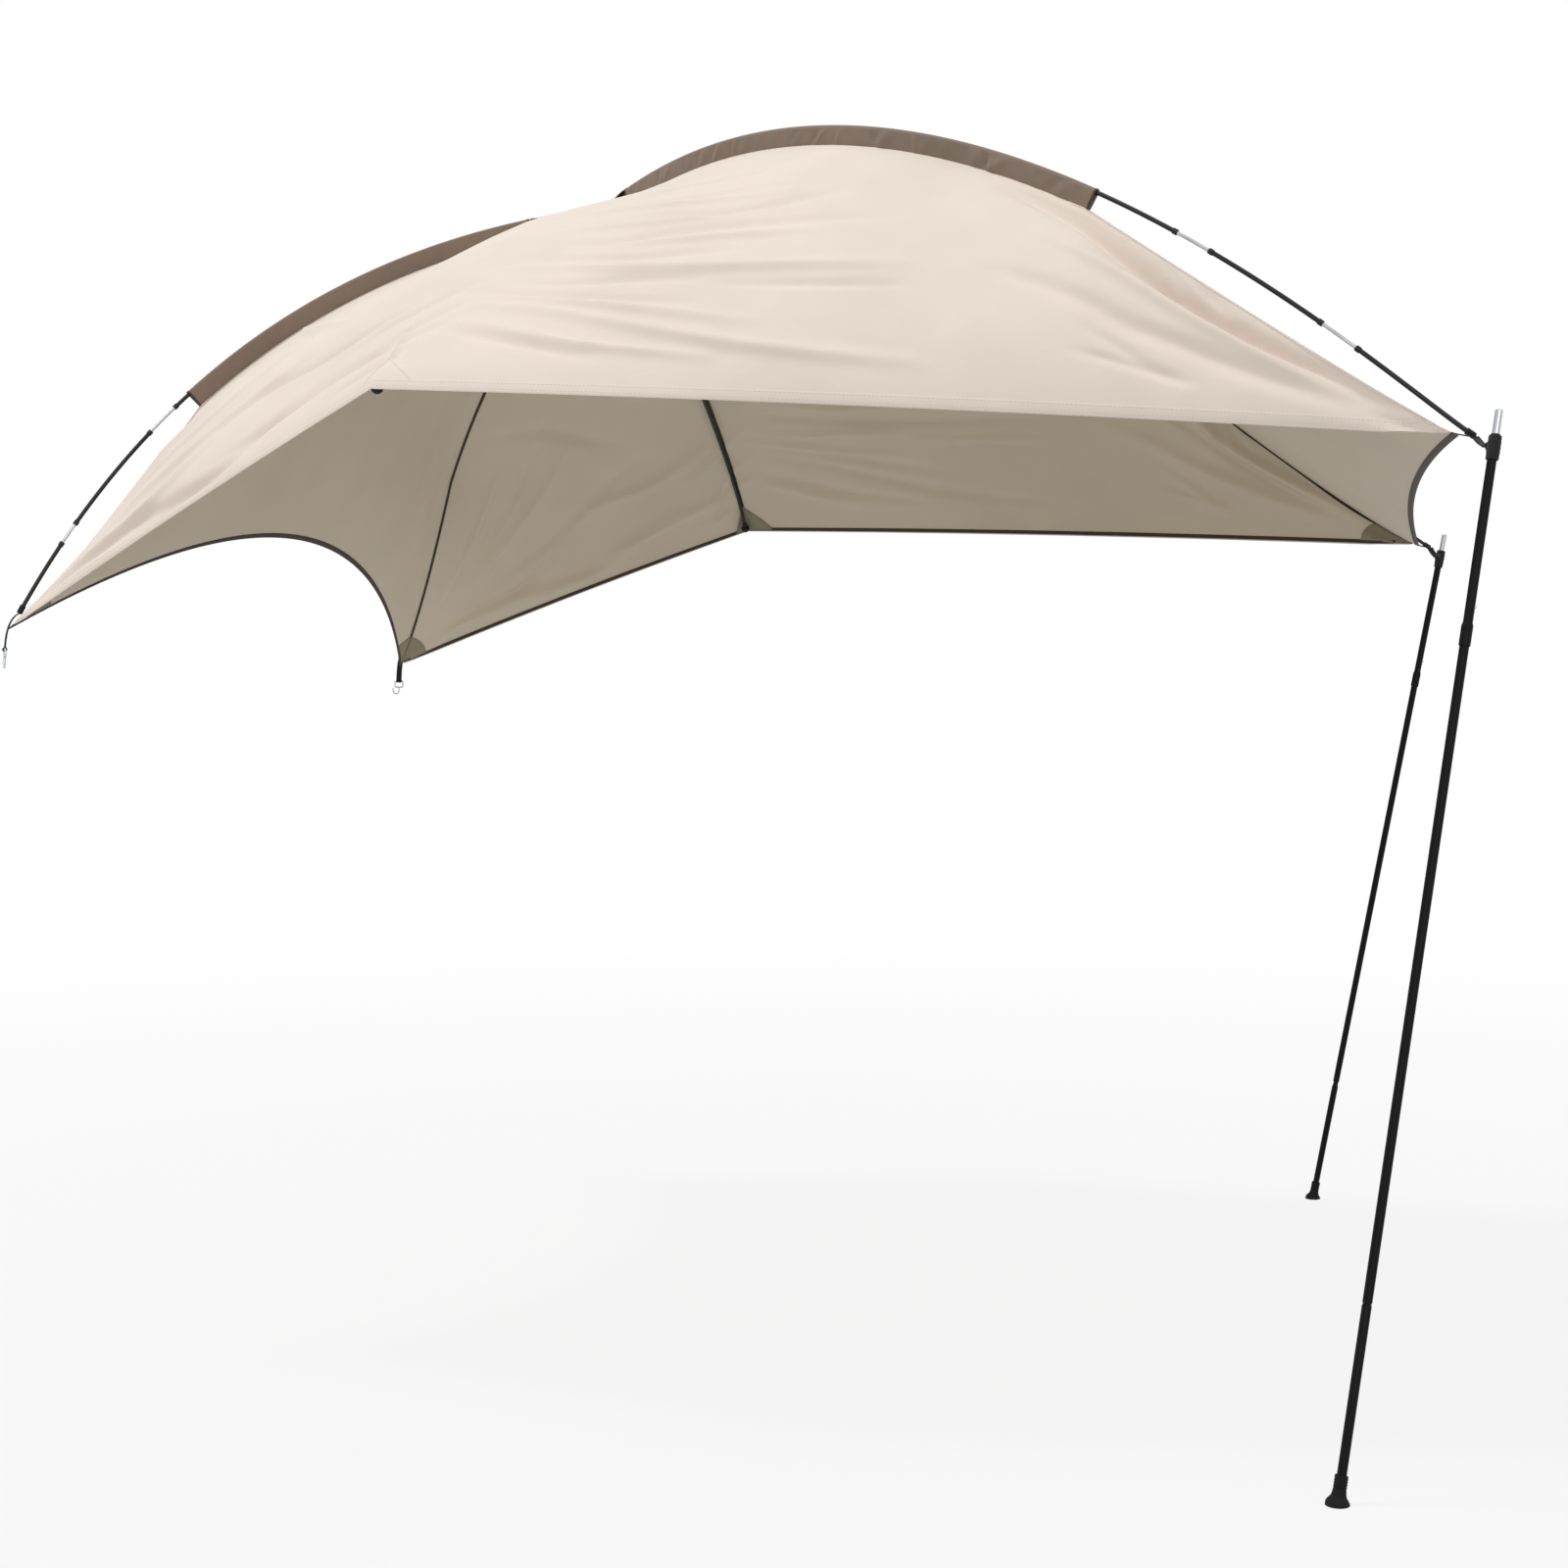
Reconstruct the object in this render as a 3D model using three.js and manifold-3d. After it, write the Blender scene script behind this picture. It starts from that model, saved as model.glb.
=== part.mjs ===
// Tailgate tent: a three-pole dome awning whose rear corners are tied down and whose front corners
// stand on two sectional uprights. Millimetres. X runs from the rear corners to the front ones,
// Y to the right, Z up from the ground.
import * as THREE from "three";
import { mergeVertices } from "three/addons/utils/BufferGeometryUtils.js";
import Module from "manifold-3d";

const wasm = await Module();
wasm.setup();

// Corners of the cloth. The tent is the same on both sides of the XZ plane.
const rearHalfWidth = 933;
const rearHeight = 1489;
const hoopSetback = 960; // rear corners to the plane of the hoop
const midHalfWidth = 1247;
const midHeight = 1881;
const frontReach = 2831; // rear corners to the front corners
const frontHalfWidth = 978;
const frontHeight = 1759;
const crownHeight = 2509; // where the two long arches cross

// Curved edges of the cloth
const frontEdgeInset = 39; // middle of the front edge behind its corners
const frontEdgeRise = 23;
const rearEdgeInset = 180;
const rearEdgeRise = 270;
const hemLift = 8; // middle of a side hem above the line between its corners

// Cloth and sewing
const clothThickness = 1;
const seamGap = 1.2; // a panel's edge to the seam line
const tipTrim = 26; // a panel's end to the point where its edges meet
const touchGap = 0.4; // between pieces that touch
const sleeveHeight = 34; // seam line below the middle of the rod, in a sleeve
const frontCornerSag = 32; // further sag of the bare seam below the rod
const rearCornerSag = 38;
const crownSettle = 40; // how fast a seam joins the crown
const cornerSettle = 8; // how fast it joins a corner
const sleeveFootGap = 1.8; // a sleeve's lower edge above the seam line
const sleeveWall = 1.3;
const sleeveClearance = 0.6; // rod to the bore of a sleeve
const sleeveWrap = 250; // degrees of the rod that a sleeve's round goes about
const sleeveNeckShare = 2; // rod's middle to the top of the flat band, in radii of the round
const sleeveBandWidth = 2.4;
const bindingWidth = 11;
const bindingThickness = 2.2;
const bindingEndGap = 34; // binding's end to the corner
const patchThickness = 1;
const patchGap = 0.7; // a patch to the panel above it
const midPatchShare = 0.55; // a middle patch's reach, of the panel's first row of facets
const midPatchTopShare = 0.11; // the same, at its upper edge

// Main folds of the side panels: count over the panel's height, depth, and the shares of its length
// where they are deepest and where they have died away
const foldMiddleShare = 0.5; // height at which the folds are deepest, of the panel's
const frontFolds = 5;
const frontFoldDepth = 6;
const frontFoldPeakShare = 0.2;
const frontFoldEndShare = 0.6;
const rearFolds = 4;
const rearFoldDepth = 6;
const rearFoldPeakShare = 0.45;
const rearFoldEndShare = 1.1;
const pleatDepth = 7; // the pleats that run along the bare seam to the front corner
const pleatHeightShare = 0.86;
const pleatStartShare = 0.55;
const pleatPeakShare = 0.4; // where they are deepest, of their own length

// Long arches: black tubes joined by bright ferrules
const rodRadius = 4.25;
const rodCollarRadius = 5.5;
const rodCollarLength = 10;
const rodBoreRadius = 1.9;
const ferruleRadius = 3.2;
const ferruleClearance = 0.3;
const ferruleSeat = 12; // how deep a ferrule sits in each tube
const frontTipRodLength = 252;
const ferruleExposed = 72;
const frontRodLength = 255;
const rearFerruleExposed = 45;
const rearRodLength = 261; // from the rear ferrule to the bright neck behind it
const rearTipRodLength = 172;
const rearTipSetback = 30; // rear end of the arch to the cloth's corner
const frontTipReach = 35; // front end of the arch beyond the cloth's corner, forwards
const frontTipSpread = 10; // the same, sideways
const frontTipDrop = 8; // the same, downwards
const crossingLift = 5.2; // half the distance between the arches where they cross
const crossingSpan = 40; // how far from the crossing that distance fades
const cordRadius = 1.5;
const cordSetback = 6; // end of the shock cord inside the end of the arch

// Sleeves, measured along the arch
const frontSleeveStart = 840; // front end of the arch to the front sleeve
const rearSleeveStart = 625; // cloth's rear corner to the rear sleeve
const frontSleeveEnd = 114; // crossing to the front sleeve
const rearSleeveEnd = 194; // crossing to the rear sleeve
const coverFrontReach = 108; // crossing to the edge of the apex cover, along a front arm
const coverRearReach = 188;
const coverSideReach = 78; // the same, along the hoop
const coverClearance = 2;

// Hoop
const hoopCornerDrop = 18; // middle of the rod inside the seam line, at the corners
const hoopCrownDrop = 22; // the same, at the crown
const hoopEndSetback = 16; // end of the hoop to the cloth's middle corner
const ballRadius = 11.5;
const ballHoleRadius = 2.5;
const ballHoleOffset = 5.75; // ball's middle to the hole's
const endCapRadius = 6.3;
const endCapLength = 18;
const endCapFloor = 2;
const endCapClearance = 0.8;

// Uprights
const shoulderReach = 67; // cloth's front corner to the upright's shoulder, forwards
const shoulderSpread = 52;
const shoulderDrop = 13;
const leftFootSetback = 188; // cloth's front corner to the foot, backwards
const leftFootOut = 1232; // middle of the tent to the foot
const rightFootSetback = 261;
const rightFootOut = 1219;
const tubeRadius = 8;
const tubeWall = 1.2;
const topSectionLength = 360; // shoulder to the mouth of the flared socket
const middleSectionLength = 1090; // what shows between the sockets
const socketLength = 34;
const socketTaper = 6;
const socketRadius = 9.7;
const slideClearance = 0.35;
const neckLength = 60;
const neckTaper = 4;
const spigotLength = 42; // above the shoulder
const spigotSeat = 30;
const spigotWall = 1;
const spigotChamfer = 1.2;
const buttonRadius = 3;
const buttonStand = 2.6; // how far it stands out of the tube
const buttonDomeShare = 0.5; // height of its dome, of its radius
const buttonAboveSocket = 27;
const buttonFlangeRadius = 3.4;
const buttonFlangeThickness = 1;
const buttonFlangeReach = 4; // tube's axis to the flange's outer face
const buttonClearance = 0.4;
const footRadius = 20;
const footHeight = 25;
const footCollarRadius = 10.5;
const footCollarHeight = 22;
const footFloor = 9; // rubber below the tube
const footWaistShare = 0.62; // radius of the bell at half its height, of its foot
const footOverrun = 4; // least that is cut off the rubber, level with the ground

// Webbing at the corners
const strapWidth = 16;
const strapThickness = 3;
const webWidth = 12; // between the cloth's corner and the rod's tip
const webThickness = 1.5;
const loopReach = 21; // upright's axis to the point where the loop bends
const loopDrop = 17; // shoulder to that point
const loopHeight = 42;
const loopWall = 2.2;
const loopSetdown = 2; // shoulder to the loop's upper edge
const loopLegInset = 6; // loop's edge to the middle of a leg
const eyeRadius = 2.2;
const bendGap = 0.5;
const rearStrapDrop = 50; // cloth's rear corner to the hook's bar
const rearStrapStandoff = 9; // the strap outside the cloth's corner
const rearStrapOut = 16; // the hook's bar outside the cloth's corner

// Wire hooks at the rear corners
const wireRadius = 2;
const hookBarLength = 24; // between the middles of the ring's sides
const hookRingHeight = 18;
const hookBendRadius = 4;
const hookShank = 10;
const hookThroatRadius = 9;
const hookTip = 8;
const hookEyeClearance = 0.6;
const hookEyeWall = 1.8;

// Fineness of the facets
const rodSides = 6;
const cordSides = 4;
const turnedSides = 14;
const smallSides = 7;
const wireSides = 6;
const rodStep = 120;
const leastRodStep = 40; // an even mark nearer than this to another mark is left out
const crossingMarks = [-2, -1, 0, 1, 2]; // rings of an arch at its crossing, in crossing spans
const curveSamples = 400;
const sleeveRoundFacets = 5;
const hoopFacets = 26;
const hookRingFacets = 20;
const hookBendFacets = 8;
const coverRings = [0.2, 0.45, 0.72, 1]; // rings of the apex cover, of its reach
const hemSlopeColumns = 2; // columns over which the slope beside a hem is taken
const weldDistance = 0.0004;
const frontRows = 15; // facets of the front panels along the arches
const rearRows = 11;
const sideColumns = 20; // facets from a side hem to the seam above it
const spanColumns = 12; // facets of the front and rear panels from side to side
const fineShare = 0.002; // step for a slope on a unit range
const overrun = 3; // a cutting tool past the face it cuts

const sides = [
  { name: "left", side: -1, footSetback: leftFootSetback, footOut: leftFootOut },
  { name: "right", side: 1, footSetback: rightFootSetback, footOut: rightFootOut },
];
const up = new THREE.Vector3(0, 0, 1);
const root = new THREE.Group();

// Finishes
const finishes = {
  cloth: { color: 0xdfd3c6, roughness: 0.85, metalness: 0 },
  sleeve: { color: 0x85766a, roughness: 0.85, metalness: 0 },
  binding: { color: 0x4f4a3f, roughness: 0.9, metalness: 0 },
  patch: { color: 0x6e6857, roughness: 0.9, metalness: 0 },
  fibreglass: { color: 0x1c1c1c, roughness: 0.45, metalness: 0 },
  bright: { color: 0xc9ccd0, roughness: 0.25, metalness: 1 },
  elastic: { color: 0x2a2a2a, roughness: 0.95, metalness: 0 },
  plastic: { color: 0x17171a, roughness: 0.5, metalness: 0 },
  paint: { color: 0x202021, roughness: 0.5, metalness: 0.1 },
  rubber: { color: 0x181818, roughness: 0.9, metalness: 0 },
  webbing: { color: 0x1e1d1c, roughness: 0.95, metalness: 0 },
};

function add(name, geometry, finish, parent = root) {
  const mesh = new THREE.Mesh(geometry, new THREE.MeshStandardMaterial(finishes[finish]));
  mesh.name = name;
  parent.add(mesh);
  return mesh;
}

// Closed bodies

// Triangles over a list of points, turned so that they face out
function closedBody(points, triangles) {
  let volume = 0;
  for (const [a, b, c] of triangles) {
    volume += points[a].dot(new THREE.Vector3().crossVectors(points[b], points[c]));
  }
  const order = volume < 0 ? triangles.map(([a, b, c]) => [a, c, b]) : triangles;
  const geometry = new THREE.BufferGeometry();
  geometry.setFromPoints(points);
  geometry.setIndex(order.flat());
  return geometry.toNonIndexed();
}

function bridge(from, to, triangles) {
  const count = from.length;
  for (let i = 0; i < count; i++) {
    const next = (i + 1) % count;
    triangles.push([from[i], from[next], to[next]], [from[i], to[next], to[i]]);
  }
}

// A sheet with two faces: both are grids of points with the same rows and columns
function sheetBody(upper, lower) {
  const rows = upper.length;
  const columns = upper[0].length;
  const points = [...upper.flat(), ...lower.flat()];
  const top = (i, j) => i * columns + j;
  const under = (i, j) => rows * columns + i * columns + j;
  const triangles = [];
  for (let i = 0; i + 1 < rows; i++) {
    for (let j = 0; j + 1 < columns; j++) {
      for (const [at, flip] of [[top, false], [under, true]]) {
        const [a, b, c, d] = [at(i, j), at(i + 1, j), at(i + 1, j + 1), at(i, j + 1)];
        const pair = [[a, b, c], [a, c, d]];
        triangles.push(...(flip ? pair.map(([p, q, r]) => [p, r, q]) : pair));
      }
    }
  }
  const rim = [];
  for (let i = 0; i + 1 < rows; i++) {
    rim.push([i, 0]);
  }
  for (let j = 0; j + 1 < columns; j++) {
    rim.push([rows - 1, j]);
  }
  for (let i = rows - 1; i > 0; i--) {
    rim.push([i, columns - 1]);
  }
  for (let j = columns - 1; j > 0; j--) {
    rim.push([0, j]);
  }
  const topRim = rim.map(([i, j]) => top(i, j));
  const underRim = rim.map(([i, j]) => under(i, j));
  for (let i = 0; i < rim.length; i++) {
    const next = (i + 1) % rim.length;
    const [a, b, c, d] = [topRim[i], topRim[next], underRim[next], underRim[i]];
    triangles.push([a, c, b], [a, d, c]);
  }
  return closedBody(points, triangles);
}

// A loop of [sideways, upwards] points, run in the wanted sense
function oriented(loop, clockwise) {
  const points = loop.map(([x, y]) => new THREE.Vector2(x, y));
  return THREE.ShapeUtils.isClockWise(points) === clockwise ? points : points.reverse();
}

// An outline, with holes, carried along a list of frames. Outline points are [sideways, upwards].
function sweptBody(frames, outline, holes = []) {
  const loops = [oriented(outline, false), ...holes.map((hole) => oriented(hole, true))];
  const points = [];
  const ringOf = frames.map(({ point, across, normal }) =>
    loops.map((loop) =>
      loop.map(({ x, y }) => {
        points.push(point.clone().addScaledVector(across, x).addScaledVector(normal, y));
        return points.length - 1;
      }),
    ),
  );
  const triangles = [];
  for (let i = 0; i + 1 < ringOf.length; i++) {
    loops.forEach((_, k) => bridge(ringOf[i][k], ringOf[i + 1][k], triangles));
  }
  const first = ringOf[0].flat();
  const last = ringOf[ringOf.length - 1].flat();
  for (const [a, b, c] of THREE.ShapeUtils.triangulateShape(loops[0], loops.slice(1))) {
    triangles.push([first[a], first[c], first[b]], [last[a], last[b], last[c]]);
  }
  return closedBody(points, triangles);
}

// A round body that follows a route. The profile is a closed list of [distance, radius].
function turnedAlong(route, profile) {
  const points = [];
  const rings = profile.map(([distance, radius]) => {
    const { point, across, normal } = route(distance);
    return Array.from({ length: rodSides }, (_, i) => {
      const angle = (2 * Math.PI * (i + 0.5)) / rodSides;
      points.push(
        point
          .clone()
          .addScaledVector(across, radius * Math.cos(angle))
          .addScaledVector(normal, radius * Math.sin(angle)),
      );
      return points.length - 1;
    });
  });
  const triangles = [];
  rings.forEach((ring, i) => bridge(ring, rings[(i + 1) % rings.length], triangles));
  return closedBody(points, triangles);
}

// A body turned about Z from a closed profile of [radius, height]
function turned(profile) {
  const points = profile.map(([radius, height]) => new THREE.Vector2(radius, height));
  points.push(points[0].clone());
  return new THREE.LatheGeometry(points, turnedSides).rotateX(Math.PI / 2);
}

// Joins and cuts
function solidOf(geometry) {
  const bare = geometry.clone();
  bare.deleteAttribute("normal");
  bare.deleteAttribute("uv");
  const merged = mergeVertices(bare, weldDistance);
  return new wasm.Manifold(
    new wasm.Mesh({
      numProp: 3,
      vertProperties: merged.attributes.position.array,
      triVerts: new Uint32Array(merged.index.array),
    }),
  );
}

function geometryOf(solid) {
  const mesh = solid.getMesh();
  const geometry = new THREE.BufferGeometry();
  geometry.setAttribute("position", new THREE.BufferAttribute(mesh.vertProperties, 3));
  geometry.setIndex(new THREE.BufferAttribute(mesh.triVerts, 1));
  return geometry.toNonIndexed();
}

function join(...geometries) {
  return geometryOf(geometries.map(solidOf).reduce((a, b) => a.add(b)));
}

function cut(geometry, ...tools) {
  return geometryOf(tools.map(solidOf).reduce((a, b) => a.subtract(b), solidOf(geometry)));
}

// A cylinder between two points
function rodBetween(from, to, radius, segments = turnedSides) {
  const span = to.clone().sub(from);
  const geometry = new THREE.CylinderGeometry(radius, radius, span.length(), segments);
  const axis = new THREE.Vector3(0, 1, 0);
  geometry.applyQuaternion(new THREE.Quaternion().setFromUnitVectors(axis, span.clone().normalize()));
  const middle = from.clone().lerp(to, 0.5);
  return geometry.translate(middle.x, middle.y, middle.z);
}

// A flat strap through a list of points: its width lies along one direction
function strapThrough(points, widthDirection, width, thickness) {
  const half = [width / 2, thickness / 2];
  const outline = [
    [-half[0], -half[1]],
    [half[0], -half[1]],
    [half[0], half[1]],
    [-half[0], half[1]],
  ];
  const frames = points.map((point, i) => {
    const before = points[Math.max(0, i - 1)];
    const after = points[Math.min(points.length - 1, i + 1)];
    const tangent = after.clone().sub(before).normalize();
    const normal = new THREE.Vector3().crossVectors(widthDirection, tangent).normalize();
    const across = new THREE.Vector3().crossVectors(tangent, normal);
    return { point, across, normal };
  });
  return sweptBody(frames, outline);
}

const evenShares = (from, to, count) =>
  Array.from({ length: count + 1 }, (_, i) => from + ((to - from) * i) / count);

// Arches

const crown = new THREE.Vector3(hoopSetback, 0, crownHeight);
const clothCrown = new THREE.Vector3(hoopSetback, 0, crownHeight - sleeveHeight);
const rearCorner = (side) => new THREE.Vector3(0, side * rearHalfWidth, rearHeight);
const midCorner = (side) => new THREE.Vector3(hoopSetback, side * midHalfWidth, midHeight);
const frontCorner = (side) => new THREE.Vector3(frontReach, side * frontHalfWidth, frontHeight);
const frontTip = (side) =>
  frontCorner(side).add(new THREE.Vector3(frontTipReach, side * frontTipSpread, -frontTipDrop));

// Handles of each arm, as shares of its run, spread and height from the crown to its end
const frontArmShares = [[0.483, 0.845, -0.296], [0.907, 1.048, 0.838]];
const rearArmShares = [[0.515, 0.47, 0.148], [0.8, 0.817, 0.509]];

function arm(end, handleShares) {
  const handles = handleShares.map(
    ([run, spread, fall]) =>
      new THREE.Vector3(
        crown.x + run * (end.x - crown.x),
        spread * end.y,
        crown.z + fall * (end.z - crown.z),
      ),
  );
  const curve = new THREE.CubicBezierCurve3(crown, handles[0], handles[1], end);
  curve.arcLengthDivisions = curveSamples;
  return curve;
}
const frontArm = (side) => arm(frontTip(side), frontArmShares);
const rearArm = (side) => arm(rearCorner(side), rearArmShares);

// The direction square to a tangent that points most nearly upwards
function normalTo(tangent) {
  return up.clone().addScaledVector(tangent, -up.dot(tangent)).normalize();
}

function frameAt(point, tangent) {
  const normal = normalTo(tangent);
  return { point, tangent, normal, across: new THREE.Vector3().crossVectors(tangent, normal) };
}

// One arch: its front end is on the named side and its rear end on the other one
function archRoute(side) {
  const front = frontArm(side);
  const rear = rearArm(-side);
  const frontLength = front.getLength();
  const rearLength = rear.getLength();
  const route = (distance) => {
    const onFront = distance < frontLength;
    const curve = onFront ? front : rear;
    const share = onFront ? 1 - distance / frontLength : (distance - frontLength) / rearLength;
    const tangent = curve.getTangentAt(share);
    if (onFront) tangent.negate();
    const frame = frameAt(curve.getPointAt(share), tangent);
    const fromCrossing = (distance - frontLength) / crossingSpan;
    frame.point.addScaledVector(frame.normal, side * crossingLift * Math.exp(-(fromCrossing ** 2)));
    return frame;
  };
  return { route, crossing: frontLength, length: frontLength + rearLength };
}

// The tubes of an arch, and the distances at which everything that runs along it has a ring
function archPlan(side) {
  const { route, crossing, length } = archRoute(side);
  const rearEnd = length - rearTipSetback;
  const frontRod = frontTipRodLength + ferruleExposed;
  const run = frontRod + frontRodLength + ferruleExposed;
  const rearTip = rearEnd - rearTipRodLength;
  const runEnd = rearTip - rearFerruleExposed;
  const neckEnd = runEnd - rearRodLength;
  const tubeEnds = [frontTipRodLength, frontRod + frontRodLength, runEnd];
  const seats = tubeEnds.flatMap((end) => [end, end - ferruleSeat]);
  const mouths = [frontRod, run, rearTip].flatMap((start) => [start, start + ferruleSeat]);
  const near = crossingMarks.map((mark) => crossing + mark * crossingSpan);
  const needed = [
    ...seats,
    ...mouths,
    ...near,
    cordSetback,
    rearEnd - cordSetback,
    endCapLength,
    rearEnd - endCapLength,
    neckEnd - ferruleExposed,
    neckEnd,
    frontSleeveStart,
    crossing - frontSleeveEnd,
    crossing + rearSleeveEnd,
    length - rearSleeveStart,
  ];
  const even = evenShares(0, length, Math.round(length / rodStep));
  const kept = even.filter((mark) => needed.every((other) => Math.abs(mark - other) > leastRodStep));
  const marks = [...kept, ...needed].sort((a, b) => a - b);
  const between = (from, to) => {
    const [low, high] = [Math.min(from, to), Math.max(from, to)];
    const inside = marks.filter((mark) => mark > low + touchGap && mark < high - touchGap);
    const steps = [low, ...inside, high];
    return from < to ? steps : steps.reverse();
  };
  return { route, crossing, length, rearEnd, frontRod, run, rearTip, runEnd, neckEnd, between };
}

const rings = (distances, radius) => distances.map((distance) => [distance, radius]);

// A tube with collars and counterbores at the ends that take a ferrule
function rodProfile(between, from, to, { ferruleAtStart, ferruleAtEnd, neck }) {
  const seatRadius = ferruleRadius + ferruleClearance;
  const start = ferruleAtStart ? from + rodCollarLength : from;
  const end = ferruleAtEnd ? to - rodCollarLength : to;
  const boreStart = ferruleAtStart ? from + ferruleSeat : from;
  const boreEnd = ferruleAtEnd ? to - ferruleSeat : to;
  const bulk = neck
    ? [
        ...rings(between(start, neck[0]), rodRadius),
        ...rings(neck, ferruleRadius),
        ...rings(between(neck[1], end), rodRadius),
      ]
    : rings(between(start, end), rodRadius);
  return [
    ...(ferruleAtStart ? rings([from, start], rodCollarRadius) : []),
    ...bulk,
    ...(ferruleAtEnd ? rings([end, to], rodCollarRadius) : []),
    ...(ferruleAtEnd ? rings([to, boreEnd], seatRadius) : []),
    ...rings(between(boreEnd, boreStart), rodBoreRadius),
    ...(ferruleAtStart ? rings([boreStart, from], seatRadius) : []),
  ];
}

// What shows of a ferrule, and an end in each tube
function ferruleProfile(from, to) {
  const seat = ferruleSeat - ferruleClearance;
  const marks = [from - seat, from, to, to + seat];
  return [...rings(marks, ferruleRadius), ...rings(marks.toReversed(), rodBoreRadius)];
}

// A solid round cord along a route, with flat ends
function cordAlong(route, distances, radius, count) {
  const outline = Array.from({ length: count }, (_, i) => {
    const angle = (2 * Math.PI * (i + 0.5)) / count;
    return [radius * Math.cos(angle), radius * Math.sin(angle)];
  });
  return sweptBody(distances.map((distance) => route(distance)), outline);
}

function addArch({ name, side }) {
  const { route, rearEnd, frontRod, run, rearTip, runEnd, neckEnd, between } = archPlan(side);
  const piece = (part, profile, finish) =>
    add(`${name}_arch_${part}`, turnedAlong(route, profile), finish);
  const tube = (part, from, to, ends) => piece(part, rodProfile(between, from, to, ends), "fibreglass");
  const both = { ferruleAtStart: true, ferruleAtEnd: true };
  tube("front_tip_rod", 0, frontTipRodLength, { ferruleAtEnd: true });
  piece("front_ferrule", ferruleProfile(frontTipRodLength, frontRod), "bright");
  tube("front_rod", frontRod, run - ferruleExposed, both);
  piece("second_ferrule", ferruleProfile(run - ferruleExposed, run), "bright");
  tube("long_run", run, runEnd, { ...both, neck: [neckEnd - ferruleExposed, neckEnd] });
  piece("rear_ferrule", ferruleProfile(runEnd, rearTip), "bright");
  tube("rear_tip_rod", rearTip, rearEnd, { ferruleAtStart: true });
  const cord = between(cordSetback, rearEnd - cordSetback);
  add(`${name}_arch_shock_cord`, cordAlong(route, cord, cordRadius, cordSides), "elastic");
}
sides.forEach(addArch);

// Sleeves: a doubled band that stands on the seam and holds the rod along its top

function sleeveOutline() {
  const reach = rodRadius + touchGap + sleeveWall;
  const halfWrap = THREE.MathUtils.degToRad(sleeveWrap) / 2;
  const outline = evenShares(-halfWrap, halfWrap, sleeveRoundFacets).map((angle) => [
    -reach * Math.sin(angle),
    reach * Math.cos(angle),
  ]);
  const foot = sleeveFootGap - sleeveHeight;
  const half = sleeveBandWidth / 2;
  const neck = -sleeveNeckShare * reach;
  outline.push([-half, neck], [-half, foot], [half, foot], [half, neck]);
  return outline;
}

function sleeveBore() {
  const radius = rodRadius + sleeveClearance;
  return Array.from({ length: rodSides }, (_, i) => {
    const angle = (2 * Math.PI * (i + 0.5)) / rodSides;
    return [radius * Math.cos(angle), radius * Math.sin(angle)];
  });
}

function addSleeves({ name, side }) {
  const own = archPlan(side);
  const other = archPlan(-side);
  const front = own.between(frontSleeveStart, own.crossing - frontSleeveEnd).map(own.route);
  const rearStart = other.crossing + rearSleeveEnd;
  const rear = other.between(rearStart, other.length - rearSleeveStart).map(other.route);
  add(`${name}_front_sleeve`, sweptBody(front, sleeveOutline(), [sleeveBore()]), "sleeve");
  add(`${name}_rear_sleeve`, sweptBody(rear, sleeveOutline(), [sleeveBore()]), "sleeve");
}
sides.forEach(addSleeves);

// Seams and edges of the cloth, each a function of a share from 0 to 1

// The seam under an arm, from the crown to the cloth's corner
function ridge(curve, corner, sleeveShare, sag) {
  const below = (share, drop) =>
    curve.getPointAt(share).addScaledVector(normalTo(curve.getTangentAt(share)), -drop);
  const startShift = clothCrown.clone().sub(below(0, sleeveHeight));
  const endShift = corner.clone().sub(below(1, 0));
  return (share) => {
    const bare = Math.max(0, (share - sleeveShare) / (1 - sleeveShare));
    const drop = sleeveHeight * (1 - bare) + 4 * sag * bare * (1 - bare);
    return below(share, drop)
      .addScaledVector(startShift, (1 - share) ** crownSettle)
      .addScaledVector(endShift, share ** cornerSettle);
  };
}

function frontRidge(side) {
  const curve = frontArm(side);
  return ridge(curve, frontCorner(side), 1 - frontSleeveStart / curve.getLength(), frontCornerSag);
}

function rearRidge(side) {
  const curve = rearArm(side);
  return ridge(curve, rearCorner(side), 1 - rearSleeveStart / curve.getLength(), rearCornerSag);
}

// The seam over the hoop, from a middle corner to the crown
const hoopShares = [[0.946, 0.214], [0.4, 1]];

function hoopSeam(side) {
  const corner = midCorner(side);
  const handles = hoopShares.map(
    ([spread, rise]) =>
      new THREE.Vector3(corner.x, spread * corner.y, corner.z + rise * (clothCrown.z - corner.z)),
  );
  const curve = new THREE.CubicBezierCurve3(corner, handles[0], handles[1], clothCrown);
  return (share) => curve.getPointAt(share);
}

// An edge that bows away from the line between its ends by a given offset at its middle
function bowed(from, to, offset) {
  return (share) => from.clone().lerp(to, share).addScaledVector(offset, 4 * share * (1 - share));
}

const hemOffset = new THREE.Vector3(0, 0, hemLift);
const frontHem = (side) => bowed(midCorner(side), frontCorner(side), hemOffset);
const rearHem = (side) => bowed(midCorner(side), rearCorner(side), hemOffset);
const frontEdgeOffset = new THREE.Vector3(-frontEdgeInset, 0, frontEdgeRise);
const rearEdgeOffset = new THREE.Vector3(rearEdgeInset, 0, rearEdgeRise);
const frontEdge = bowed(frontCorner(-1), frontCorner(1), frontEdgeOffset);
const rearEdge = bowed(rearCorner(-1), rearCorner(1), rearEdgeOffset);

// Panels

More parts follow.
